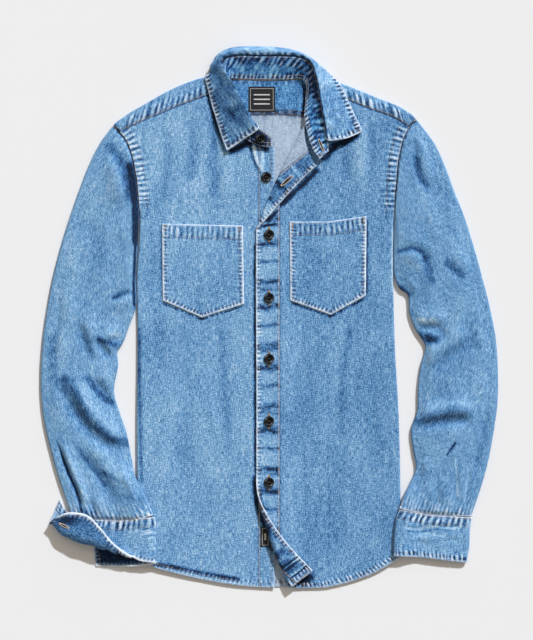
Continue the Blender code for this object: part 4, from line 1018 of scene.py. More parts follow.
class Grid:
    """A piece of cloth on a grid of points [along][across] of its outer face.

    Its seams are kinds of strip, each with its edge. A push is what raises the points, adds to
    their tone and, where it has a third part, wears them less.
    """

    def __init__(self, name, points, wall, closed, seams, push=None):
        self.name, self.wall, self.closed, self.seams = name, wall, closed, seams
        self.seed = sum(map(ord, name)) % 50
        ring = np.concatenate([points, points[:, :1]], axis=1) if closed else points
        steps = np.linalg.norm(np.diff(points, axis=0), axis=2)
        self.along = np.vstack([np.zeros(points.shape[1]), np.cumsum(steps, axis=0)])
        steps = np.linalg.norm(np.diff(ring, axis=1), axis=2)
        self.across = np.column_stack([np.zeros(len(points)), np.cumsum(steps, axis=1)])
        self.girth = self.across[:, -1]
        self.across = self.across[:, :points.shape[1]]
        placed = [(kind, *self.edge(edge)) for kind, edge in seams]
        height, tone, worn = add_strips(self.seed, points.shape[:2], placed)
        self.normal = self.facing(points)
        if push is not None:
            points = points + push[0][:, :, None] * np.array([0, 0, 1.0])
            tone, worn = tone + push[1], worn * (push[2] if len(push) > 2 else 1)
        self.tone, self.worn = np.clip(tone, -1.6, 1.1), worn
        low = smooth(3.0, 1.0, points[:, :, 2]) * np.clip(-self.normal[:, :, 2], 0, 1)
        self.outer = points + self.normal * (height * (1 - 0.8 * low) - 0.3 * low)[:, :, None]
        self.outer[:, :, 2] = np.maximum(self.outer[:, :, 2], GROUND)
        self.inner = points - self.normal * (wall + 0.4 * height * (1 - low))[:, :, None]
        self.inner[:, :, 2] = np.maximum(self.inner[:, :, 2], GROUND + 0.02)

    def edge(self, name):
        """Distance from an edge of the grid, and the place along that edge."""
        round_it = self.across / self.girth[:, None] * self.girth.mean()
        along_it = self.along / self.along[-1] * self.along[-1].mean()
        if name == "start":
            return self.along, round_it
        if name == "end":
            return self.along[-1] - self.along, round_it
        if name == "left":
            return self.across, along_it
        return self.girth[:, None] - self.across, along_it

    def facing(self, points):
        """The outward normals of the grid."""
        along = np.gradient(points, axis=0)
        if self.closed:
            across = (np.roll(points, -1, axis=1) - np.roll(points, 1, axis=1)) / 2
        else:
            across = np.gradient(points, axis=1)
        normal = np.cross(along, across)
        return normal / np.maximum(np.linalg.norm(normal, axis=2, keepdims=True), 1e-9)

    def build(self, materials):
        """Make the shell, and stitch it."""
        length, width = self.outer.shape[:2]
        faces = []
        for row in range(length - 1):
            for place in range(width if self.closed else width - 1):
                a, b = row * width + place, row * width + (place + 1) % width
                faces.append([a, a + width, b + width, b])
        rim = np.minimum(self.along, self.along[-1] - self.along)
        if not self.closed:
            rim = np.minimum(rim, np.minimum(self.across, self.girth[:, None] - self.across))
        draw = rounding(rim, self.wall)[:, :, None] * self.normal
        grain = np.stack([self.across, self.along], 2).reshape(-1, 2)
        self.piece = shell(f"{self.name}_cloth", (self.outer - draw).reshape(-1, 3),
                           (self.inner + draw).reshape(-1, 3), faces, grain,
                           self.tone.ravel(), self.worn.ravel(), materials, False)
        settle(self.piece, self.name)
        self.sew()
        return self

    def row(self, edge, distance):
        """The line at a distance from an edge, on both faces, with its outward normals."""
        field = self.edge(edge)[0]
        if edge in ("left", "right"):
            stack = [a.transpose(1, 0, 2) for a in (self.outer, self.inner, self.normal)]
            field = field.T
        else:
            stack = [self.outer, self.inner, self.normal]
        if edge in ("end", "right"):
            stack, field = [a[::-1] for a in stack], field[::-1]
        found = np.zeros((3, field.shape[1], 3))
        for k in range(field.shape[1]):
            for n, values in enumerate(stack):
                for axis in range(3):
                    found[n, k, axis] = np.interp(distance, field[:, k], values[:, k, axis])
        return found

    def sew(self):
        """Stitch the rows of each seam, on both faces."""
        for kind, edge in self.seams:
            for row in STRIPS[kind]["rows"]:
                outer, inner, normal = self.row(edge, row)
                stitch(outer + 0.1 * normal, normal, STRIPS[kind]["thread"])
                stitch(inner - 0.1 * normal, -normal, STRIPS[kind]["thread"])


# ---------------------------------------------------------------- thread

UP = np.array([0, 0, 1.0])
# Sections of a stitch: place along it, thickness and rise, in radii of the thread
SPINDLE = [(0.0, 0.15, -0.35), (0.25, 1.0, 0.2), (0.75, 1.0, 0.2), (1.0, 0.15, -0.35)]
SPINDLE_SIDES = 4


def between(place, reach, values):
    """The vectors of a list, read at a place, or at each of several, along a line."""
    return np.stack([np.interp(place, reach, values[:, k]) for k in range(3)], -1)


def lay_thread(thread, start, end, up, thick=1.0):
    """One stitch of a colour; thick is its width, in widths of the thread."""
    THREADS[thread].append((start, end, up, thick))


def stitch(points, normal, thread):
    """A row of stitches along a line on the cloth, clear of the ground."""
    points = np.array(points)
    points[:, 2] = np.maximum(points[:, 2], 0.42)
    reach = lengths(points)
    for middle in np.arange(STITCH_PITCH, reach[-1] - STITCH_PITCH / 2, STITCH_PITCH):
        ends = [middle - STITCH_LENGTH / 2, middle + STITCH_LENGTH / 2]
        lay_thread(thread, *between(ends, reach, points), between(middle, reach, normal))


def overcast(start, end, up, thread, width, pitch=0.55):
    """Closely laid threads across a line."""
    along = end - start
    reach = np.linalg.norm(along)
    half = np.cross(up, along / reach) * width / 2
    for place in np.arange(0, reach + pitch / 2, pitch):
        middle = start + along * place / reach
        lay_thread(thread, middle - half, middle + half, up)


def slit(path, ups, width, thread):
    """An overcast slit along a path on the cloth, with near-black threads as painted shadow in it.
    """
    reach = lengths(path)

    def at(place):
        up = between(place, reach, ups)
        return between(place, reach, path), up / np.linalg.norm(up)

    along = (path[-1] - path[0]) / np.linalg.norm(path[-1] - path[0])
    for place in np.arange(0, reach[-1] + 0.2, 0.5):
        middle, up = at(place)
        across = np.cross(up, along)
        near = width * math.sin(math.pi * min(1, place / reach[-1])) ** 0.6 + 0.1
        for side in (-across, across):
            lay_thread(thread, middle + side * near, middle + side * (near + 1.2), up)
    for place in (0, reach[-1]):
        tip, up = at(place)
        overcast(tip - along * 0.5, tip + along * 0.5, up, thread, width=2.4)
    # near-black threads along the middle: painted shadow in the slit's opening
    for share, thick in ((0.30, 0.75), (0.5, 1.0), (0.70, 0.75)):
        ends = [at(reach[-1] * min(0.94, max(0.06, share + part)))[0] for part in (-0.26, 0.26)]
        up = at(reach[-1] * share)[1]
        lay_thread("dark", ends[0] + 0.12 * up, ends[1] + 0.12 * up, up,
                   max(1.2, 3.3 * width * thick))


def armhole_shadow_cord():
    """Near-black cords laid in the gap of the right armhole's seam as a painted shadow."""
    line = even(ARMHOLES[-1], 5.0)
    line = line[(line[:, 1] > 20) & (line[:, 1] < ARMHOLES[-1][:, 1].max() - 4)]
    line = column(*line.T, front_height(*line.T) + CLOTH - 0.5)
    for a, b in zip(line[:-1], line[1:]):
        lay_thread("dark", a, b + 0.1 * (b - a), UP, thick=2.8)


def thread_meshes():
    """All the threads of one colour as one mesh of little arched spindles; the dark ones are
    shadow.
    """
    sides = SPINDLE_SIDES
    turns = np.arange(sides) * 2 * math.pi / sides
    for name, stitches in THREADS.items():
        a, b, up = (np.array([s[k] for s in stitches]) for k in range(3))
        thick_of = np.array([s[3] for s in stitches])[:, None]
        along = b - a
        along /= np.linalg.norm(along, axis=1, keepdims=True)
        across = np.cross(along, up)
        across /= np.maximum(np.linalg.norm(across, axis=1, keepdims=True), 1e-9)
        up = np.cross(across, along)
        rings = []
        for share, thick, rise in SPINDLE:
            middle = a + (b - a) * share + up * THREAD * rise
            for turn in turns:
                rings.append(middle + THREAD * thick * (across * thick_of * math.cos(turn)
                                                        + up * math.sin(turn)))
        points = np.stack(rings, 1)
        size = points.shape[1]
        faces = []
        for low in range(0, size - sides, sides):
            for k in range(sides):
                after, high = (k + 1) % sides, low + sides
                faces.append([low + k, high + k, high + after, low + after])
        faces.append(list(range(sides)))
        faces.append([size - 1 - k for k in range(sides)])
        base = np.arange(len(points))[:, None] * size
        polygons = [row for face in faces for row in (base + np.array(face)).tolist()]
        mesh = mesh_of(f"stitches_{name}", points.reshape(-1, 3), polygons,
                       [thread_material(name, THREAD_COLOURS[name])])
        mesh.shade_smooth()
        declare(linked(mesh.name, mesh))


# ---------------------------------------------------------------- materials

class Shader:
    """A small helper that adds nodes to a Principled material."""

    def __init__(self, name, roughness, sheen=0.0, specular=0.3):
        self.material = bpy.data.materials.new(name)
        self.material.use_nodes = True
        self.tree = self.material.node_tree
        self.surface = self.tree.nodes["Principled BSDF"]
        self.set("Roughness", roughness)
        self.set("Sheen Weight", sheen)
        self.set("Specular IOR Level", specular)

    def join(self, source, target):
        """Link an output to an input."""
        self.tree.links.new(source, target)

    def set(self, socket, value):
        """Give the surface a fixed value."""
        self.surface.inputs[socket].default_value = value

    def add(self, kind, out=0, **given):
        """A node with its settings and inputs, i0 being its first input, and so on."""
        node = self.tree.nodes.new(kind)
        for key, value in given.items():
            if hasattr(node, key):
                setattr(node, key, value)
                continue
            socket = node.inputs[int(key[1:]) if key[1:].isdigit() else key]
            if isinstance(value, bpy.types.NodeSocket):
                self.join(value, socket)
            else:
                socket.default_value = value
        return node.outputs[out]

    def math(self, operation, a, b, clamp=False):
        return self.add("ShaderNodeMath", operation=operation, i0=a, i1=b, use_clamp=clamp)

    def attribute(self, name, out):
        return self.add("ShaderNodeAttribute", out, attribute_name=name)

    def grain(self, across, along, detail=1.0, seed=0.0):
        """Noise over the flat cloth, so many millimetres long across and along the warp."""
        flat = self.attribute("grain", 1)
        scaled = self.add("ShaderNodeVectorMath", operation="MULTIPLY", i0=flat,
                          i1=(1 / across, 1 / along, 1))
        moved = self.add("ShaderNodeVectorMath", operation="ADD", i0=scaled, i1=(seed, seed, seed))
        return self.add("ShaderNodeTexNoise", Vector=moved, Scale=1.0, Detail=detail,
                        Roughness=0.55)

    def ramp(self, value, stops):
        """The colour that stops, each a place and a colour, give a value."""
        made = self.tree.nodes.new("ShaderNodeValToRGB")
        elements = made.color_ramp.elements
        while len(elements) < len(stops):
            elements.new(0.5)
        for element, (place, colour) in zip(elements, stops):
            element.position = place
            element.color = (*colour, 1)
        self.join(value, made.inputs[0])
        return made.outputs[0]

    def weigh(self, parts, middle):
        """Sum of fields, each less its middle and times its weight."""
        total = None
        for field, weight, centre in parts:
            part = self.math("MULTIPLY", self.math("SUBTRACT", field, centre), weight)
            total = part if total is None else self.math("ADD", total, part)
        return self.math("ADD", total, middle)

    def bump(self, height, strength, distance):
        made = self.add("ShaderNodeBump", Height=height, Strength=strength, Distance=distance)
        self.join(made, self.surface.inputs["Normal"])


DENIM_STOPS = [(0.0, (0.004, 0.014, 0.042)), (0.22, (0.024, 0.104, 0.288)),
               (0.45, (0.099, 0.264, 0.504)), (0.62, (0.190, 0.393, 0.622)),
               (0.82, (0.375, 0.570, 0.755)), (1.0, (0.660, 0.775, 0.875))]
INSIDE_STOPS = [(0.0, (0.05, 0.075, 0.14)), (0.25, (0.18, 0.25, 0.365)),
                (0.5, (0.38, 0.485, 0.62)), (0.75, (0.515, 0.625, 0.74)),
                (1.0, (0.74, 0.80, 0.87))]
# pale colour of worn cloth, also the painted glint of the buttons
WEAR_AND_GLINT_COLOUR = (0.77, 0.84, 0.92, 1)

# Noise of the denim: its size in mm across and along the warp, detail, seed, and its weights in
# the colour and in the relief. The weave's own weights in the colour follow its strength.
GRAINS = {
    "warp": (1.2, 8, 1, 0.0, 0.92, 0.0),
    "weft": (6, 1.2, 1, 5.0, 0.74, 0.0),
    "speck": (1.25, 1.4, 1, 9.0, 1.20, 0.6),
    "wash": (42, 90, 3, 3.0, 0.32, 0.0),
    "patch": (7, 34, 2, 7.0, 0.24, 0.0),
    "streak": (5.0, 60, 2, 13.0, 0.20, 0.0),
    "fine_warp": (0.9, 5, 1, 2.0, 0.0, 0.6),
    "fine_weft": (5, 0.9, 1, 4.0, 0.0, 0.5),
}
WEAVE = ("warp", "weft", "speck")
TONE_WEIGHT = 0.40
MIDDLE_TONE = 0.545


def denim_material(name, stops, strength=1.0, shade_tint=(1, 1, 1)):
    """Denim coloured from stops by its grains and tone; shade_tint makes a bluer copy as painted
    shade.
    """
    made = Shader(name, roughness=0.88, sheen=0.08, specular=0.2)
    stops = [(place, np.minimum(np.multiply(colour, shade_tint), 1)) for place, colour in stops]
    grains = {kind: made.grain(*row[:4]) for kind, row in GRAINS.items()}
    parts = [(grains[kind], row[4] * (strength if kind in WEAVE else 1), 0.5)
             for kind, row in GRAINS.items() if row[4]]
    parts.append((made.attribute("tone", 2), TONE_WEIGHT, 0.0))
    colour = made.ramp(made.weigh(parts, MIDDLE_TONE), stops)
    rub = made.math("MULTIPLY", made.attribute("worn", 2),
                    made.math("ADD", grains["speck"], 0.35), True)
    made.join(mix_colours(made, rub, colour), made.surface.inputs["Base Color"])
    relief = [(grains[kind], row[5], 0.5) for kind, row in GRAINS.items() if row[5]]
    made.bump(made.weigh(relief, 0.5), strength=0.55, distance=0.0006)
    return made.material


def mix_colours(shader, factor, colour):
    """A colour mixed by a factor with the pale colour of wear, which on buttons is a painted glint.
    """
    mixer = shader.tree.nodes.new("ShaderNodeMix")
    mixer.data_type = "RGBA"
    shader.join(factor, mixer.inputs[0])
    shader.join(colour, mixer.inputs[6])
    mixer.inputs[7].default_value = WEAR_AND_GLINT_COLOUR
    return mixer.outputs[2]


def clouded(shader, scale, detail, stops):
    """Two colours mixed by a noise in the object's own space."""
    place = shader.add("ShaderNodeTexCoord", 3)
    cloud = shader.add("ShaderNodeTexNoise", Vector=place, Scale=scale, Detail=detail)
    return shader.ramp(cloud, stops)


def thread_material(name, colour):
    """Sewing thread, darker and lighter in turns."""
    made = Shader(f"thread_{name}", roughness=0.7, sheen=0.2)
    dark = tuple(0.6 * c for c in colour)
    light = tuple(min(1, 1.3 * c) for c in colour)
    made.join(clouded(made, 900.0, 2.0, [(0.3, dark), (0.7, light)]),
              made.surface.inputs["Base Color"])
    return made.material


def plain_material(name, colour, roughness, grain=0.0, painted_glint=False):
    """A slightly clouded colour; with painted_glint, pale where the mesh marks painted glints."""
    made = Shader(name, roughness, specular=0.12 if painted_glint else 0.3)
    light = tuple(min(1, c * (1 + grain) + 0.004) for c in colour)
    colours = clouded(made, 400.0, 3.0, [(0.35, colour), (0.7, light)])
    if painted_glint:
        colours = mix_colours(made, made.attribute("worn", 2), colours)
    made.join(colours, made.surface.inputs["Base Color"])
    return made.material


DENIM = denim_material("denim", DENIM_STOPS)
# bluer copies of the denim for the collar stand and the yoke's inside in the neck, which lie in
# shade: a painted shade tint
DENIM_STAND = denim_material("denim_stand", DENIM_STOPS, shade_tint=(0.64, 0.98, 1.18))
DENIM_YOKE = denim_material("denim_yoke", DENIM_STOPS, shade_tint=(0.90, 1.06, 1.09))
INSIDE = denim_material("denim_inside", INSIDE_STOPS, strength=0.75)
BUTTON = plain_material("button_black", (0.002, 0.002, 0.003), roughness=0.25, painted_glint=True)
LABEL = plain_material("label_black", (0.010, 0.010, 0.012), roughness=0.75, grain=0.8)
LABEL_PALE = plain_material("label_pale", (0.50, 0.50, 0.48), roughness=0.75, grain=0.4)


# ---------------------------------------------------------------- the pieces of the body

def front_parts(side):
    """The outline of a front as named lines, in order round it."""
    right = side < 0
    neck_line, hem_line = NECKS[side], HEMS[side]
    seam = PLACKET_RIGHT[0] - SEAM if right else PLACKET_LEFT[1] + SEAM
    underarm, foot = UNDERARM[side], FEET[side]
    tuck = math.pi * SIDE_RADIUS - SIDE_RADIUS + SIDE_TUCK
    neck, hem = curve(neck_line), curve(hem_line)
    neck = neck[side * (neck[:, 0] - seam) > 1]
    hem = (hem[::-1] if right else hem)
    hem = hem[side * (hem[:, 0] - seam) > 1.5]
    top, low = (seam, height_at(neck_line, seam)), (seam, height_at(hem_line, seam))
    levels = np.linspace(foot, underarm, round((underarm - foot) / STEP))
    side_line = np.column_stack([side_x(levels, side) + side * tuck, levels])
    corner = side_x(underarm, side)
    armhole = ARMHOLES[side][::-1] - (side * (SEAM + 0.1), 0)
    armhole = armhole[(armhole[:, 1] > underarm + 2) & (armhole[:, 1] < YOKE_SEAMS[side][0][1] - 2)]
    return {
        "yoke": YOKE_SEAMS[side] - (0, SEAM),
        "neck": np.vstack([neck[1:], [top]]),
        "placket": even([top, low], STEP)[1:-1],
        "hem": np.vstack([[low], hem[:-1]]),
        "foot": even([hem[-1], (side_x(foot, side) + side * tuck, foot)], STEP)[:-1],
        "side": side_line,
        "underarm": even([(corner + side * tuck, underarm), armhole[0]], STEP)[1:-1],
        "armhole": armhole,
    }


# Each bend below is how far points lie past its start, its direction and the length it takes up
def side_bend(side):
    """The roll of a front round the side of the body."""
    def past(points):
        return side * (points[:, 0] - side_x(points[:, 1], side)) + SIDE_RADIUS
    return past, (side, 0.0), math.pi * SIDE_RADIUS


def shoulder_bend():
    """The roll of the yoke over the shoulders."""
    def past(points):
        return points[:, 1] + SIDE_RADIUS - shoulder_y(points[:, 0])
    return past, (0.0, 1.0), math.pi * SIDE_RADIUS


def turn_bend(turn):
    """The fold of a turned corner."""
    def past(points):
        return past_fold(turn, points)
    return past, tuple(fold_line(turn)[1]), math.pi * turn["radius"]


def make_front(side):
    """The right front, or the left one with its two turned corners."""
    parts = front_parts(side)
    hem = np.vstack([parts["hem"], parts["foot"]])
    lines = {"under_yoke": parts["yoke"], "front_seam": parts["placket"],
             "hem_flat" if side < 0 else "hem": hem, "side": parts["side"],
             "armhole": parts["armhole"]}
    seams = [(kind, line, side) for kind, line in lines.items()]
    name, lay, bends, tint = "front_right", lay_right, [side_bend(side)], 0.02
    if side > 0:
        name, lay, tint = "front_left", lay_left, -0.14
        bends += [turn_bend(TURN_NECK), turn_bend(TURN_TAIL)]
    outline = np.vstack(list(parts.values()))
    made = Panel(name, outline, lay, CLOTH, seams, bends=bends, shades=SHADES_BODY, tint=tint)
    return made.build([DENIM, INSIDE])


# Bands across the top placket: height from a buttonhole, half width and depth
PLACKET_BANDS = [(-13.5, 4.5, 0.9), (-40, 2.6, 0.6), (-70, 4.2, 0.8), (12, 2.5, 0.5)]
TOP_BAND_ROW = 215          # the bands below the open button start from here


def placket_bands(x, y):
    """Dark bands across the top placket between its buttonholes."""
    dark = 0 * y
    for row in [TOP_BAND_ROW] + BUTTON_ROWS:
        for below, width, depth in PLACKET_BANDS:
            wavy = y - row - below + 2.5 * noise(x / 14, row / 7, 2)
            dark += depth * np.exp(-(wavy / width) ** 2) * (0.75 + 0.5 * noise(x / 6, y / 3, 4))
    return dark


# Painted shade lines across the turned tail of the top placket, at its folds, with painted
# highlights where the depth is negative: height above its hem and depth
TAIL_FOLDS = [(10.4, 3.0), (12.4, -1.2), (24.0, 1.6), (26.0, -1.2), (28.5, 1.8)]


def placket_paint(flat, turned):
    """Bands between the buttonholes, and painted shade on what is turned back, its roll and folds.
    """
    stripe = np.tanh(2.5 * noise(flat[:, 1] / 8, flat[:, 0] / 30, 6))
    at_neck = flat[:, 1] > 0
    streaks = np.where(at_neck, 0.1 + 0.5 * stripe, 0.5 + 0.6 * stripe)
    past = past_fold(TURN_TAIL, flat)
    rolled = smooth(0.5, 3, past) * smooth(16, 10, past) * ~at_neck
    above_hem = flat[:, 1] - PLACKET_LEFT_FOOT
    folded = sum(depth * np.exp(-((above_hem - level) / 0.8) ** 2) for level, depth in TAIL_FOLDS)
    # painted shade: the turned corners darker with streaks, the tail's roll darker, its fold lines
    # dark
    return (0.1 - 1.8 * placket_bands(*flat.T) - 0.5 * rolled
            - turned * (streaks + np.where(at_neck, 0, folded)))


def edge_curl(x, y):
    """How the edge of the top placket stands off the right front."""
    return 1.5 * np.exp(-(x - PLACKET_LEFT[0]) / 5.0) * smooth(150, 110, y)


def placket_drape(x, y):
    """Cross creases between the buttonholes, over the unevenness of the body."""
    return (body_drape(x, y) + uneven(x, y, PLACKET_UNEVEN) - 0.45 * placket_bands(x, y)
            + edge_curl(x, y))


def make_placket(side):
    """The band with the buttons, or the one with the buttonholes that laps over it."""
    right = side < 0
    neck_line, hem_line = NECKS[side], HEMS[side]
    low, high = PLACKET_RIGHT if right else PLACKET_LEFT
    foot = level_points(hem_line, np.linspace(low, high, 14))
    if right:
        edge = [(high, foot[-1][1]), (high, height_at(neck_line, high))]
        seam = [(low, height_at(neck_line, low)), foot[0]]
        neck = level_points(neck_line, np.linspace(high, low, 10)[1:-1])
        edge, seam = even(edge, STEP), even(seam, STEP)
        outline = np.vstack([foot[:-1], edge, neck, seam[:-1]])
        seams = [("hem_flat", foot, 1), ("under_edge", edge, 1), ("placket_seam", seam, 1)]
        made = Panel("placket_right", outline, lay_right, CLOTH, seams, shades=SHADES_BODY)
        return made.build([DENIM, DENIM])
    edge = curve(FRONT_EDGE_LEFT)
    seam = even([foot[-1], (high, height_at(neck_line, high))], STEP)
    neck = level_points(neck_line, np.linspace(high, edge[0][0], 10)[1:-1])
    outline = np.vstack([foot[:-1], seam, neck, edge[:-1]])
    seams = [("hem", foot, 1), ("placket_seam", seam, 1), ("placket_edge", edge, 1)]
    bends = [turn_bend(TURN_NECK), turn_bend(TURN_TAIL)]
    made = Panel("placket_left", outline, lay_left, BAND_CLOTH, seams, placket_drape, bends,
                 FINE_STEP, SHADES_PLACKET, paint=placket_paint)
    levels = [level + side for level, _ in TAIL_FOLDS for side in (-0.6, 0.6)]
    made.rows = [np.array([(low, PLACKET_LEFT_FOOT + y), (high, PLACKET_LEFT_FOOT + y)])
                 for y in levels]
    return made.build([DENIM, DENIM])


def back_seam_y(x):
    """Y of the seam between the back and the yoke."""
    return BACK_YOKE_SEAM[0] - BACK_YOKE_SEAM[1] * x * x


def back_seam_end(side):
    """X at which that seam reaches the armhole."""
    return float(armhole_x(back_seam_y(BACK_SEAM_REACH), side)) - side * UNDER_GAP


def make_back():
    """The back below the yoke, from one tucked side seam to the other."""
    halves = {}
    for side in (-1, 1):
        seam = SIDE_TUCK + SIDE_RADIUS + SEAM
        foot = FEET[side]
        xs = side * np.linspace(3, side * side_x(foot, side) - seam, 60)
        half = [(x, y + BACK_HEM_RISE) for x, y in level_points(HEMS[side], xs)]
        under = UNDERARM[side] + SEAM
        levels = np.r_[np.arange(foot, under, 6), under]
        half += [(side_x(y, side) - side * seam, y) for y in levels]
        half.append((float(armhole_x(under, side)) - side * UNDER_GAP, under))
        half += [(x - side * UNDER_GAP, y) for x, y in ARMHOLES[side][::-1]
                 if under + 2 < y < back_seam_y(x) - 0.8]
        xs = back_seam_end(side) * np.linspace(1, 0.02, 40)
        half += [(x, back_seam_y(x) - SEAM) for x in xs]
        halves[side] = half
    outline = np.array(halves[1] + halves[-1][::-1])
    top = np.array([p for p in outline if p[1] > 200 and abs(p[1] - back_seam_y(p[0])) < 1])
    hem = np.array([p for p in halves[-1][::-1] + halves[1] if p[1] < -340])
    seams = [("under_yoke", top, 1), ("hem", hem, 1)]
    made = Panel("back", outline, lay_back, -CLOTH, seams, lambda x, y: 0 * x, step=BACK_STEP,
                 shades=SHADES_BODY)
    return made.build([DENIM, INSIDE])


def over_shoulder(line):
    """A line of the front of the yoke as it lies on the flat piece, past the fold."""
    line = np.asarray(line, float)
    return np.column_stack([line[:, 0], 2 * shoulder_y(line[:, 0]) - line[:, 1]
                            + (math.pi - 2) * SIDE_RADIUS])


def make_yoke():
    """The yoke, from the back's seam over the shoulder fold to the fronts' seams."""
    halves, lines = {}, {}
    for side in (-1, 1):
        gap = side * UNDER_GAP
        xs = back_seam_end(side) * np.linspace(0.02, 1, 60)
        back = column(xs, back_seam_y(xs))
        rise = np.array([(x - gap, y) for x, y in ARMHOLES[side][::-1]
                         if back_seam_y(x) + 0.8 < y < shoulder_y(x) - SIDE_RADIUS - 1])
        tip = ARMHOLES[side][0]
        angles = np.linspace(0, math.pi, 9)
        level = shoulder_y(tip[0] - gap)
        ys = level + SIDE_RADIUS * (np.sin(angles) - 1)
        xs = np.where(ys < tip[1], armhole_x(ys, side) - gap, tip[0] - gap)
        roll = column(xs, shoulder_y(xs) + SIDE_RADIUS * (angles - 1))
        front = over_shoulder(YOKE_SEAMS[side])
        neck_x = NECK_BACK[0][0] if side < 0 else NECK_BACK[-1][0]
        end = YOKE_SEAMS[side][-1]
        corner = over_shoulder([((end[0] + neck_x) / 2, (end[1] + NECK_BACK[0][1]) / 2)])
        x = neck_x + side * 3.0
        neck = column(x, shoulder_y(x) + SIDE_RADIUS * (angles - 1))[::-1]
        halves[side] = np.vstack([back, rise, roll, front, corner, neck])
        lines[side] = {"back": back, "front": front, "armhole": np.vstack([rise, roll])}
    neck_back = curve(NECK_BACK)
    outline = np.vstack([halves[-1], neck_back, halves[1][::-1]])
    seams = []
    for side in (-1, 1):
        seams += [("yoke", lines[side]["front"], side), ("yoke_end", lines[side]["armhole"], side),
                  ("back_yoke", lines[side]["back"], side)]
    seams.append(("neck", neck_back, -1))

    def drape(x, y):
        return np.where(y > shoulder_y(x) - 60, body_drape(x, y) * 0.5, 0)
    made = Panel("yoke", outline, lay_yoke, -YOKE_CLOTH, seams, drape, [shoulder_bend()],
                 shades=SHADES_BODY)
    return made.build([DENIM, DENIM_YOKE])


def make_pocket(name, corners, height, tint):
    """A patch pocket on a front of that height; the left one has one more corner in its hem."""
    def lay(flat):
        x, y = flat.T
        return column(x, y, height(x, y) + SEAM + CLOTH)
    top_count = len(corners) - 4
    points = np.array(corners + corners[:1], float)
    sides = [even(points[k:k + 2], STEP) for k in range(len(corners))]
    outline = np.vstack([line[:-1] for line in sides])
    top = even(points[:top_count + 1], STEP)
    rest = np.vstack([line[:-1] for line in sides[top_count:]] + [points[-1:]])
    seams = [("pocket_hem", top, -1), ("pocket_side", rest, -1)]
    made = Panel(name, outline, lay, CLOTH, seams, step=FINE_STEP, tint=tint)
    made.build([DENIM, INSIDE])
    for corner, inward in ((points[0], 1), (points[top_count], -1)):
        ends = corner + [(inward * 5.0, -1.5), (inward * 4.2, -9.5)]
        laid, normal, _, _ = made.place(ends, 1, 0.25)
        overcast(laid[0], laid[1], normal[0], "gold", width=2.0)


# ---------------------------------------------------------------- sleeves, cuffs and collar

# Grids of the pieces: points along and across, and the length and width in mm that they span
SLEEVE_GRID = (236, 58, 34, 580)    # the second and third are across its top and its underside
CUFF_LEFT_GRID = (34, 54, 40, 68)
STAND_GRID = (240, 20, 420, 30)
LEAF_GRID = (260, 38, 440, 60)
CUFF_RIGHT_GRID = (150, 40, 250, 68)
RIM_POINTS = 5                      # round each edge of a flattened tube


def sample(line, u):
    """Points of an even line at shares of its length."""
    places = np.linspace(0, 1, len(line))
    return np.stack([np.interp(u, places, line[:, k]) for k in range(line.shape[1])], -1)


def ring_places(top, arc, under):
    """Across (0 to 1), bulge past the edge and level, round a flattened tube."""
    turns = np.linspace(0, math.pi, arc + 2)[1:-1]
    places = [(t, 0.0, 1.0) for t in np.linspace(0, 1, top)]
    places += [(1.0, math.sin(a), math.cos(a)) for a in turns]
    places += [(t, 0.0, -1.0) for t in np.linspace(1, 0, under)]
    places += [(0.0, -math.sin(a), -math.cos(a)) for a in turns]
    return np.array(places).T


def lift(x, y, side):
    """How far a sleeve is raised where it climbs on to the body."""
    low, high = LIFT_FROM[side]
    over = side * (side_x(y, side) - x)
    return BODY_LIFT * smooth(-34, -4, over) * (1 - smooth(low, high, y))


def tube(ends, edges, radius, steps, ring, side):
    """A flattened tube; seen from above it is a Coons patch between its four edges."""
    v = steps[:, None]
    outer, inner = (sample(spline(edge, 500), steps) for edge in edges)
    first, last = (spline(end, 300) for end in ends)
    across, bulge, level = ring
    rim = (radius / np.linalg.norm(outer - inner, axis=1))[:, None]
    u = rim + (1 - 2 * rim) * across + rim * bulge
    x, y = ((1 - v) * sample(first, u)[..., k] + v * sample(last, u)[..., k]
            + (1 - u) * outer[:, None, k] + u * inner[:, None, k]
            - (1 - u) * ((1 - v) * outer[0, k] + v * outer[-1, k])
            - u * ((1 - v) * inner[0, k] + v * inner[-1, k]) for k in range(2))
    z = lift(x, y, side) + radius * (1 + level)
    return np.stack([x, y, z], 2)


def edged(count, length):
    """Places from 0 to 1 with two more close to each end, for its round edge."""
    inner = np.linspace(0, 1, count)[1:-1]
    near = np.array(EDGE_ROWS) / length
    inner = inner[(inner > 1.6 * near[-1]) & (inner < 1 - 1.6 * near[-1])]
    return np.r_[0, near, inner, 1 - near[::-1], 1]


def tube_push(points, ring, steps, table, crown, fold):
    """How the top of a tube is raised and creased, its underside dented, and its painted shade."""
    across, _, level = ring
    x, y = points[:, :, 0], points[:, :, 1]
    edge = np.clip(9 * np.minimum(across, 1 - across), 0, 1)[None, :]
    ends = smooth(0, 0.012, steps)[:, None] * smooth(0, 0.012, 1 - steps)[:, None]
    top = (level == 1.0)[None, :] * edge
    low = (level == -1.0)[None, :] * edge
    crease, hollow = fold * over_grid(creases, table, points)
    soft = fold * uneven(x, y, TUBE_UNEVEN)
    full = crown * np.sin(math.pi * across)[None, :] ** 0.6
    deep = full + 3.6
    sunk = crease + soft
    sunk = np.where(sunk < 0, -deep * np.tanh(-sunk / deep), sunk)
    raised = top * ends * (sunk + full)
    raised = raised + low * ends * 0.9 * np.maximum(0, noise(x / 21, y / 33, 12)) ** 1.2
    # painted shade in the creases' hollows; lighter where the cloth rises and darker where it
    # sinks, part wear and part painted shade; then the sleeve table's painted shade and highlights
    tone = top * (0.07 * hollow + 0.06 * np.clip(crease + soft, -3, 4))
    return raised, tone + (level > -0.3)[None, :] * over_grid(shade, SHADES_SLEEVE, points)[0]


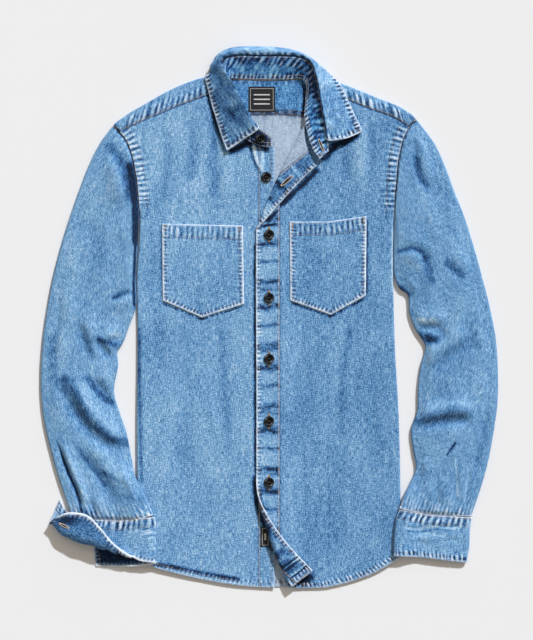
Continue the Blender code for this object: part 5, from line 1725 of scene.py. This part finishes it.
def make_sleeve(side):
    """A sleeve from its armhole to its cuff; the left one's grid is turned to face outwards."""
    if side < 0:
        name, table, tint = "sleeve_right", CREASES_SLEEVE_RIGHT, 0.0
        foot = np.add(CUFF_SEAM_RIGHT, (0, -SEAM - 1.0))
        foot[0], foot[-1] = CUFF_SEAM_RIGHT[0], CUFF_SEAM_RIGHT[-1]
        ends, edges = (ARMHOLE_RIGHT, foot), (SLEEVE_RIGHT_OUTER, SLEEVE_RIGHT_INNER)
    else:
        name, table, tint = "sleeve_left", CREASES_SLEEVE_LEFT, -0.08
        ends, edges = (ARMHOLE_LEFT, CUFF_SEAM_LEFT), (SLEEVE_LEFT_OUTER, SLEEVE_LEFT_INNER)
    stations, top, under, length = SLEEVE_GRID
    ring, steps = ring_places(top, RIM_POINTS, under), edged(stations, length)
    points = tube(ends, edges, SLEEVE_RADIUS, steps, ring, side)
    raised, tone = tube_push(points, ring, steps, table, crown=4.0, fold=1.5)
    push = raised, tone + tint
    if side > 0:
        points, push = points[:, ::-1], [p[:, ::-1] for p in push]
    seams = [("sleeve_head", "start"), ("sleeve_foot", "end")]
    return Grid(name, points, SLEEVE_CLOTH, True, seams, push).build([DENIM, INSIDE])


CREASES_CUFF = [
    ([(186, -300), (215, -306), (250, -303), (286, -299)], 3, 0.9, 0.8),
    ([(206, -318), (232, -312), (262, -318)], 3, 0.7, -0.7),
    ([(196, -330), (216, -324), (240, -330)], 3, 0.7, 0.6),
    ([(248, -326), (268, -321), (284, -328)], 3, 0.6, 0.5),
]


def make_closed_cuff():
    """The left cuff, a flattened ring just below its sleeve."""
    drop = (0, -SEAM - 0.1)
    outer, inner = np.add(CUFF_LEFT_OUTER, drop), np.add(CUFF_LEFT_INNER, drop)
    seam = [outer[0], *np.add(CUFF_SEAM_LEFT[1:-1], drop), inner[0]]
    hem = [outer[-1], *CUFF_LEFT_HEM[1:-1], inner[-1]]
    stations, top, under, length = CUFF_LEFT_GRID
    ring, steps = ring_places(top, RIM_POINTS, under), edged(stations, length)
    points = tube((seam, hem), (outer, inner), CUFF_RADIUS, steps, ring, 1)
    raised, tone = tube_push(points, ring, steps, CREASES_CUFF, crown=0.5, fold=1.2)
    push = raised, tone + over_grid(shade, SHADES_CUFF, points)[0]
    seams = [("cuff_top", "start"), ("cuff_hem", "end")]
    made = Grid("cuff_left", points[:, ::-1], CUFF_CLOTH, True, seams, [p[:, ::-1] for p in push])
    return made.build([DENIM, DENIM])


def band(sections, stations, columns, length, width):
    """Points of a band through its sections."""
    tracks = np.array([spline(points, 60) for points in sections])
    tracks = np.stack([sample(track, edged(columns, width)) for track in tracks])
    grid = np.stack([spline(tracks[:, k], 500) for k in range(tracks.shape[1])], axis=1)
    places = edged(stations, length)
    return np.stack([sample(grid[:, k], places) for k in range(grid.shape[1])], axis=1)


def from_ends(count):
    """For each of so many places in a row, how far it is from the nearer end."""
    places = np.arange(count)
    return np.minimum(places, places[::-1])


def puckers(points, seed, size, height):
    """Small uneven creases over a band."""
    along = np.arange(points.shape[0])[:, None] * 2.2 + 0 * points[:, :, 0]
    across = np.arange(points.shape[1])[None, :] * 2.0 + 0 * points[:, :, 0]
    return height * noise(along / size, across / (1.6 * size), seed)


def make_stand():
    """The collar stand, with painted shade where the leaf and the open corner shade it."""
    sections = [[row["foot"], row["top"]] for row in rows(STAND_COLUMNS, STAND)]
    points = band(sections, *STAND_GRID)
    seams = [("stand_foot", "left"), ("stand_top", "right"), ("stand_end", "start"),
             ("stand_end", "end")]
    # painted shade: the end under the leaf's point, the right end and the line under the roll are
    # darkened, the hidden end kept from wear; the puckers are painted light and shade, with no
    # relief
    hidden = spot(points, (-12, 262), (26, 20))
    dark = -0.25 - 1.8 * spot(points, (62, 345), (22, 26)) - 2.6 * hidden
    place = np.arange(points.shape[1])[None, :]
    under_roll = smooth(place.max() - 6, place.max() - 2, place) * smooth(48, 60, points[:, :, 0])
    dark = dark - 1.5 * under_roll * smooth(265, 300, points[:, :, 1])
    dark = dark + puckers(points, seed=41, size=4, height=1.0)
    dark = dark + puckers(points, seed=42, size=9, height=0.8) + 0.1
    push = 0 * dark, dark, 1 - 0.95 * hidden
    made = Grid("collar_stand", points, STAND_CLOTH, False, seams, push)
    return made.build([DENIM_STAND, DENIM_STAND])


def make_leaf():
    """The collar leaf, turned down over the stand, with its outer edge and points curled."""
    sections = [[row["seam"], row["roll"], row["middle"], row["edge"]]
                for row in rows(LEAF_COLUMNS, LEAF)]
    points = band(sections, *LEAF_GRID)
    seams = [("collar_seam", "left"), ("collar_edge", "right"), ("collar_edge", "start"),
             ("collar_edge", "end")]
    raised = puckers(points, seed=21, size=8, height=0.5)
    raised = raised + puckers(points, seed=22, size=17, height=1.1)
    place = np.arange(points.shape[1])
    rim = smooth(0, 6, place)[None, :]
    ends = from_ends(len(points))[:, None]
    curl = 1.7 * np.exp(-(place[-1] - place) * 1.9 / 7)[None, :]
    curl = np.maximum(curl, 1.7 * np.exp(-ends * 2.1 / 7) * smooth(0.3, 1, place / place[-1]))
    x, y = points[:, :, 0], points[:, :, 1]
    # darker towards the left end of the leaf, with the painted shade and highlights of its creases
    # and roll line; the puckers are lighter where they rise, part wear and part painted highlight
    darkening = -0.45 * smooth(-10, -30, x) * smooth(388, 360, y)
    darkening = darkening + over_grid(shade, SHADES_COLLAR, points)[0]
    push = ((raised + curl) * rim, 0.35 * raised * rim + darkening)
    return Grid("collar", points, COLLAR_CLOTH, False, seams, push).build([DENIM, DENIM])


def cuff_section(row):
    """The points across the open cuff, with two more where it rolls over a fold."""
    seam, fold, hem, roll = row["seam"], row["fold"], row["hem"], row["roll"]
    if roll == 0:
        return [seam, fold, hem]
    back = np.subtract(seam, fold)[:2]
    back = back / np.linalg.norm(back) * roll
    low = (fold[0] + back[0], fold[1] + back[1], fold[2] - roll)
    high = (fold[0] + back[0], fold[1] + back[1], fold[2] + roll)
    return [seam, low, fold, high, hem]


def make_open_cuff():
    """The right cuff, unbuttoned, with its end turned up over the sleeve."""
    sections = [cuff_section(row) for row in rows(CUFF_COLUMNS, CUFF_RIGHT)]
    points = band(sections, *CUFF_RIGHT_GRID)
    seams = [("cuff_top", "left"), ("cuff_free", "right"), ("cuff_side", "start"),
             ("cuff_side", "end")]
    raised = puckers(points, seed=31, size=8, height=0.4)
    rim = np.clip(from_ends(points.shape[1]) / 5, 0, 1)[None, :]
    x, y, z = points.transpose(2, 0, 1)
    # painted shade: a dark spot inside the turned end, near-black over the lower layer under the
    # flap; the flap is darker too, and the cuff's table adds painted light and shade of small
    # crinkles
    inner = spot(points, (-292, -292), (16, 7)) * smooth(10, 14, z)
    under = smooth(9, 7.5, z) * smooth(-322, -330, y)
    under = under * smooth(0, 9, np.arange(points.shape[1])[::-1])[None, :]
    under = under * smooth(0, 6, np.arange(len(points)))[:, None]
    flap = smooth(9, 14, z) * smooth(-206, -222, x)
    dark = over_grid(shade, SHADES_CUFF, points)[0] - 1.3 * inner - 1.9 * under - 0.55 * flap
    push = (raised * rim * smooth(5, 9, z), 0.3 * raised * rim + dark)
    return Grid("cuff_right", points, CUFF_CLOTH, False, seams, push).build([DENIM, DENIM])


# ---------------------------------------------------------------- buttons, buttonholes, labels

# A button, in shares of its radius and its height: the rings of points on its top, the rim's
# middle and half width, where the dish ends, and the radius and height of the rings below
BUTTON_RINGS = (*np.linspace(0, 0.62, 15), 0.68, 0.74, 0.8, 0.86, 0.91, 0.95, 0.98, 1.0)
BUTTON_RIM = (0.80, 0.20)
BUTTON_DISH = 0.6
BUTTON_FOOT = ((0.97, 0.28), (0.8, 0.0))
BUTTON_SIDES = 72
HOLE_PLACE = 1.35                   # mm of a hole from the button's middle, in x and in y
HOLE_RADIUS = (0.55, 0.85)          # mm, at its foot and at its brim
HOLE_DEPTH = 1.3                    # mm
HOLE_LENGTH = 21.0                  # mm of a buttonhole


def make_button(name, node):
    """A dished four-hole button in the place of its solid, with its thread and painted glints."""
    low, high = (np.array(corner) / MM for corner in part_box(node))
    centre = (low + high) / 2
    tilt = STAND_BUTTON["tilt"] if node == "button_stand" else 0
    place = STAND_BUTTON["place"] if tilt else (centre[0], centre[1], low[2])
    size = BUTTON_SIDES
    turns = np.arange(size) * 2 * math.pi / size
    r, turn = np.meshgrid(BUTTON_RINGS, turns, indexing="ij")
    rim = np.sqrt(np.maximum(0, 1 - ((r - BUTTON_RIM[0]) / BUTTON_RIM[1]) ** 2))
    height = BUTTON_HEIGHT * np.where(r > BUTTON_DISH, 0.58 + 0.42 * rim, 0.66 + 0.05 * r)
    height[-1] = 0.5 * BUTTON_HEIGHT
    x, y = BUTTON_RADIUS * r * np.cos(turn), BUTTON_RADIUS * r * np.sin(turn)
    for hole_x in (-HOLE_PLACE, HOLE_PLACE):
        for hole_y in (-HOLE_PLACE, HOLE_PLACE):
            far = np.hypot(x - hole_x, y - hole_y)
            height -= HOLE_DEPTH * (1 - smooth(*HOLE_RADIUS, far))
    top = np.stack([x, y, height], 2)[1:].reshape(-1, 3)
    foot = [(BUTTON_RADIUS * share * math.cos(t), BUTTON_RADIUS * share * math.sin(t),
             BUTTON_HEIGHT * level) for share, level in BUTTON_FOOT for t in turns]
    points = np.vstack([[(0, 0, height[0, 0])], top, foot, [(0, 0, 0)]])
    last = len(points) - 1 - size
    faces = [[0, 1 + k, 1 + (k + 1) % size] for k in range(size)]
    for first in range(1, last, size):
        for k in range(size):
            a, b = first + k, first + (k + 1) % size
            faces.append([a, a + size, b + size, b])
    faces += [[last + k, len(points) - 1, last + (k + 1) % size] for k in range(size)]
    mesh = mesh_of(name, points, faces, [BUTTON])
    mesh.shade_smooth()
    mesh.set_sharp_from_angle(angle=math.radians(50))
    reach, turn = np.hypot(points[:, 0], points[:, 1]) / BUTTON_RADIUS, np.arctan2(*points[:, :2].T)
    # painted glints: lighter arcs on two sides of the rim, stored in the worn attribute, stand in
    # for reflections
    sides = 0.06 + 0.94 * np.sin(turn - 0.8) ** 8
    glint_rings = np.exp(-((reach - 0.66) / 0.05) ** 2) + 0.6 * np.exp(-((reach - 0.9) / 0.04) ** 2)
    put(mesh, "worn", "FLOAT", "value",
        0.45 * glint_rings * sides * (points[:, 2] > 0.4 * BUTTON_HEIGHT))
    made = declare(linked(name, mesh), node)
    made.location = [MM * v for v in place]
    slope = math.radians(tilt)
    made.rotation_euler = (slope, 0, 0)
    z = 0.70 * BUTTON_HEIGHT
    for x in (-HOLE_PLACE, HOLE_PLACE):
        ends = [np.array([x, y * math.cos(slope) - z * math.sin(slope),
                          y * math.sin(slope) + z * math.cos(slope)]) + place
                for y in (-0.9 * HOLE_PLACE, 0.9 * HOLE_PLACE)]
        lay_thread("brown", *ends, UP)


def buttonhole(panel, middle, face=1, width=0.35, thread="gold"):
    """An overcast slit along the grain of a flat piece."""
    path = np.array(middle) + [(0, share * HOLE_LENGTH) for share in np.linspace(-0.5, 0.5, 9)]
    laid, normal, _, _ = panel.place(path, face, 0.35)
    slit(laid, normal, width, thread)


def band_hole(grid, middle, direction, length, width):
    """An overcast slit on the side of a band that is seen from above."""
    facing = grid.normal[:, :, 2]
    face = np.where((facing > 0)[:, :, None], grid.outer, grid.inner)
    path, ups = [], []
    for reach in np.linspace(-length / 2, length / 2, 5):
        target = np.array(middle) + np.array(direction) * reach
        far = np.hypot(*(face[:, :, :2] - target).transpose(2, 0, 1)) - 0.4 * face[:, :, 2]
        place = np.unravel_index(far.argmin(), far.shape)
        ups.append(grid.normal[place] * math.copysign(1, facing[place]))
        path.append(np.r_[target, face[place][2]] + 0.5 * ups[-1])
    slit(np.array(path), np.array(ups), width, "cream")


def make_label(name, box, height, bars):
    """A woven label with a pale border and plain bars."""
    x0, y0, x1, y1 = box
    corners = [(x0, y0), (x1, y0), (x1, y1), (x0, y1), (x0, y0)]
    outline = even(corners, LABEL_STEP)[:-1]

    def lay(flat):
        return column(flat[:, 0], flat[:, 1], height)

    def drape(x, y):
        return 0.25 * noise(x / 14, y / 14, 14) * min(1, height / 6)
    panel = Panel(name, outline, lay, LABEL_CLOTH, [], drape, step=LABEL_STEP)
    flat, faces = spread(panel.outline, [], LABEL_STEP, [])
    outer, _, tone, worn = panel.place(flat)
    inner = panel.place(flat, -1)[0]
    piece = shell(f"{name}_cloth", outer, inner, faces, flat, tone, worn, [LABEL], False)
    width, depth = x1 - x0, y1 - y0
    settle(piece, name)
    inset = 0.07 * depth
    left, low, right, high = x0 + inset, y0 + inset, x1 - inset, y1 - inset
    pale = [(left, low, right, low + BORDER), (left, high - BORDER, right, high),
            (left, low, left + BORDER, high), (right - BORDER, low, right, high)]
    pale += [((x0 + x1 - width * share) / 2, y0 + depth * (at - thick / 2),
              (x0 + x1 + width * share) / 2, y0 + depth * (at + thick / 2))
             for at, thick, share in bars]
    points, polygons = [], []
    for box in pale:
        made, faces = label_bar(panel, *box)
        polygons += [[corner + sum(map(len, points)) for corner in face] for face in faces]
        points.append(made)
    mesh = mesh_of(f"{name}_bars", np.vstack(points), polygons, [LABEL_PALE])
    declare(linked(mesh.name, mesh))


def label_bar(panel, x0, y0, x1, y1):
    """A raised strip of a label: four lines along it, and the faces between and at its ends."""
    upright = x1 - x0 < y1 - y0
    if upright:
        ends, half = [((x0 + x1) / 2, y0), ((x0 + x1) / 2, y1)], ((x1 - x0) / 2, 0)
    else:
        ends, half = [(x0, (y0 + y1) / 2), (x1, (y0 + y1) / 2)], (0, (y1 - y0) / 2)
    middle = even(ends, 3.0)
    lines = [panel.place(line, 1, raised)[0]
             for raised in (0.02, 0.14) for line in (middle - half, middle + half)]
    size = len(middle)
    faces = []
    for k in range(size - 1):
        a, b, c, d = range(k, 4 * size, size)
        faces += [[c, c + 1, d + 1, d], [a, a + 1, c + 1, c], [d, d + 1, b + 1, b],
                  [b, b + 1, a + 1, a]]
    faces += [[0, 2 * size, 3 * size, size],
              [2 * size - 1, 4 * size - 1, 3 * size - 1, size - 1]]
    return np.vstack(lines), [face[::-1] for face in faces] if upright else faces


# ---------------------------------------------------------------- floor, light and camera

FLOOR_REACH = 4000.0                # mm
FLOOR_LEVEL = -0.2
SUN = {"from": (8.8, 16.0, 13.2), "strength": 3.70, "angle": 2.5, "colour": (0.875, 0.925, 1.0)}
GLINT = {"place": (-0.75, 0.55, 1.3), "strength": 0.4, "size": 0.1}
# The sky is brightest to one side, and fades to its dimmest before it is opposite
SKY = {"bright": (0.42, 0.76, 0.50), "dimmest": (-0.6, 0.13), "brightest": (1.0, 0.58),
       "colour": (1.06, 0.955, 0.83, 1)}


def aim(lamp, origin):
    """Turn a lamp so that it shines from there to the middle of the shirt."""
    lamp.rotation_euler = Vector(origin).to_track_quat("Z", "Y").to_euler()


def make_stage():
    """A pale floor, a sun, a small lamp that glints in the buttons, and a graded sky."""
    corners = [(-1, -1), (1, -1), (1, 1), (-1, 1)]
    points = np.array([(FLOOR_REACH * x, FLOOR_REACH * y, FLOOR_LEVEL) for x, y in corners])
    shader = Shader("floor_pale", roughness=0.9)
    shader.set("Base Color", (0.83, 0.83, 0.83, 1))
    linked("floor", mesh_of("floor", points, [(0, 1, 2, 3)], [shader.material]))

    sun = bpy.data.lights.new("key", "SUN")
    sun.energy, sun.angle, sun.color = SUN["strength"], math.radians(SUN["angle"]), SUN["colour"]
    aim(linked("key", sun), SUN["from"])

    lamp = bpy.data.lights.new("glint", "AREA")
    lamp.energy, lamp.size = GLINT["strength"], GLINT["size"]
    glint = linked("glint", lamp)
    glint.location = GLINT["place"]
    aim(glint, GLINT["place"])

    world = bpy.data.worlds.new("studio")
    world.use_nodes = True
    tree = world.node_tree
    toward = tree.nodes.new("ShaderNodeTexCoord")
    facing = tree.nodes.new("ShaderNodeVectorMath")
    facing.operation = "DOT_PRODUCT"
    facing.inputs[1].default_value = SKY["bright"]
    grade = tree.nodes.new("ShaderNodeMapRange")
    for end, given in (("Min", SKY["dimmest"]), ("Max", SKY["brightest"])):
        grade.inputs[f"From {end}"].default_value, grade.inputs[f"To {end}"].default_value = given
    tree.links.new(toward.outputs["Generated"], facing.inputs[0])
    tree.links.new(facing.outputs["Value"], grade.inputs["Value"])
    background = tree.nodes["Background"]
    background.inputs[0].default_value = SKY["colour"]
    tree.links.new(grade.outputs["Result"], background.inputs[1])
    bpy.context.scene.world = world
    bpy.context.scene.view_settings.view_transform = "Standard"


VIEW_HEIGHT = 934.4                 # mm of the ground that the picture shows, from top to foot
VIEW_MIDDLE = (-3.65, -1.46)
CAMERA_HEIGHT = 3500.0


def make_camera():
    """Straight above the shirt."""
    data = bpy.data.cameras.new("camera")
    data.sensor_fit = "VERTICAL"
    data.sensor_height = 36.0
    data.lens = data.sensor_height * CAMERA_HEIGHT / VIEW_HEIGHT
    data.clip_end = 50
    camera = linked("camera", data)
    camera.location = [MM * v for v in (*VIEW_MIDDLE, CAMERA_HEIGHT)]
    bpy.context.scene.camera = camera


def main():
    make_camera()
    make_stage()
    make_back()
    make_yoke()
    plackets = {}
    for side in (-1, 1):
        make_front(side)
        plackets[side] = make_placket(side)
        make_sleeve(side)
    make_pocket("pocket_right", POCKET_RIGHT, front_height, 0.0)
    make_pocket("pocket_left", POCKET_LEFT, left_height, -0.12)
    stand = make_stand()
    make_leaf()
    make_closed_cuff()
    cuff = make_open_cuff()
    names = [f"button_{k}" for k in range(1, len(BUTTON_ROWS) + 1)]
    for name in names + ["button_open", "button_stand"]:
        make_button(f"{name}_turned", name)
    for y in BUTTON_ROWS:
        buttonhole(plackets[1], (0, y))
    buttonhole(plackets[1], NECK_HOLE, face=-1, width=1.6, thread="cream")
    band_hole(stand, *STAND_HOLE)
    band_hole(cuff, *CUFF_HOLE)
    make_label("neck_label", NECK_LABEL, YOKE_CLOTH + SEAM + LABEL_CLOTH, NECK_BARS)
    make_label("placket_label", PLACKET_LABEL, MID_HEIGHT + SEAM + LABEL_CLOTH, PLACKET_BARS)
    armhole_shadow_cord()
    thread_meshes()


main()
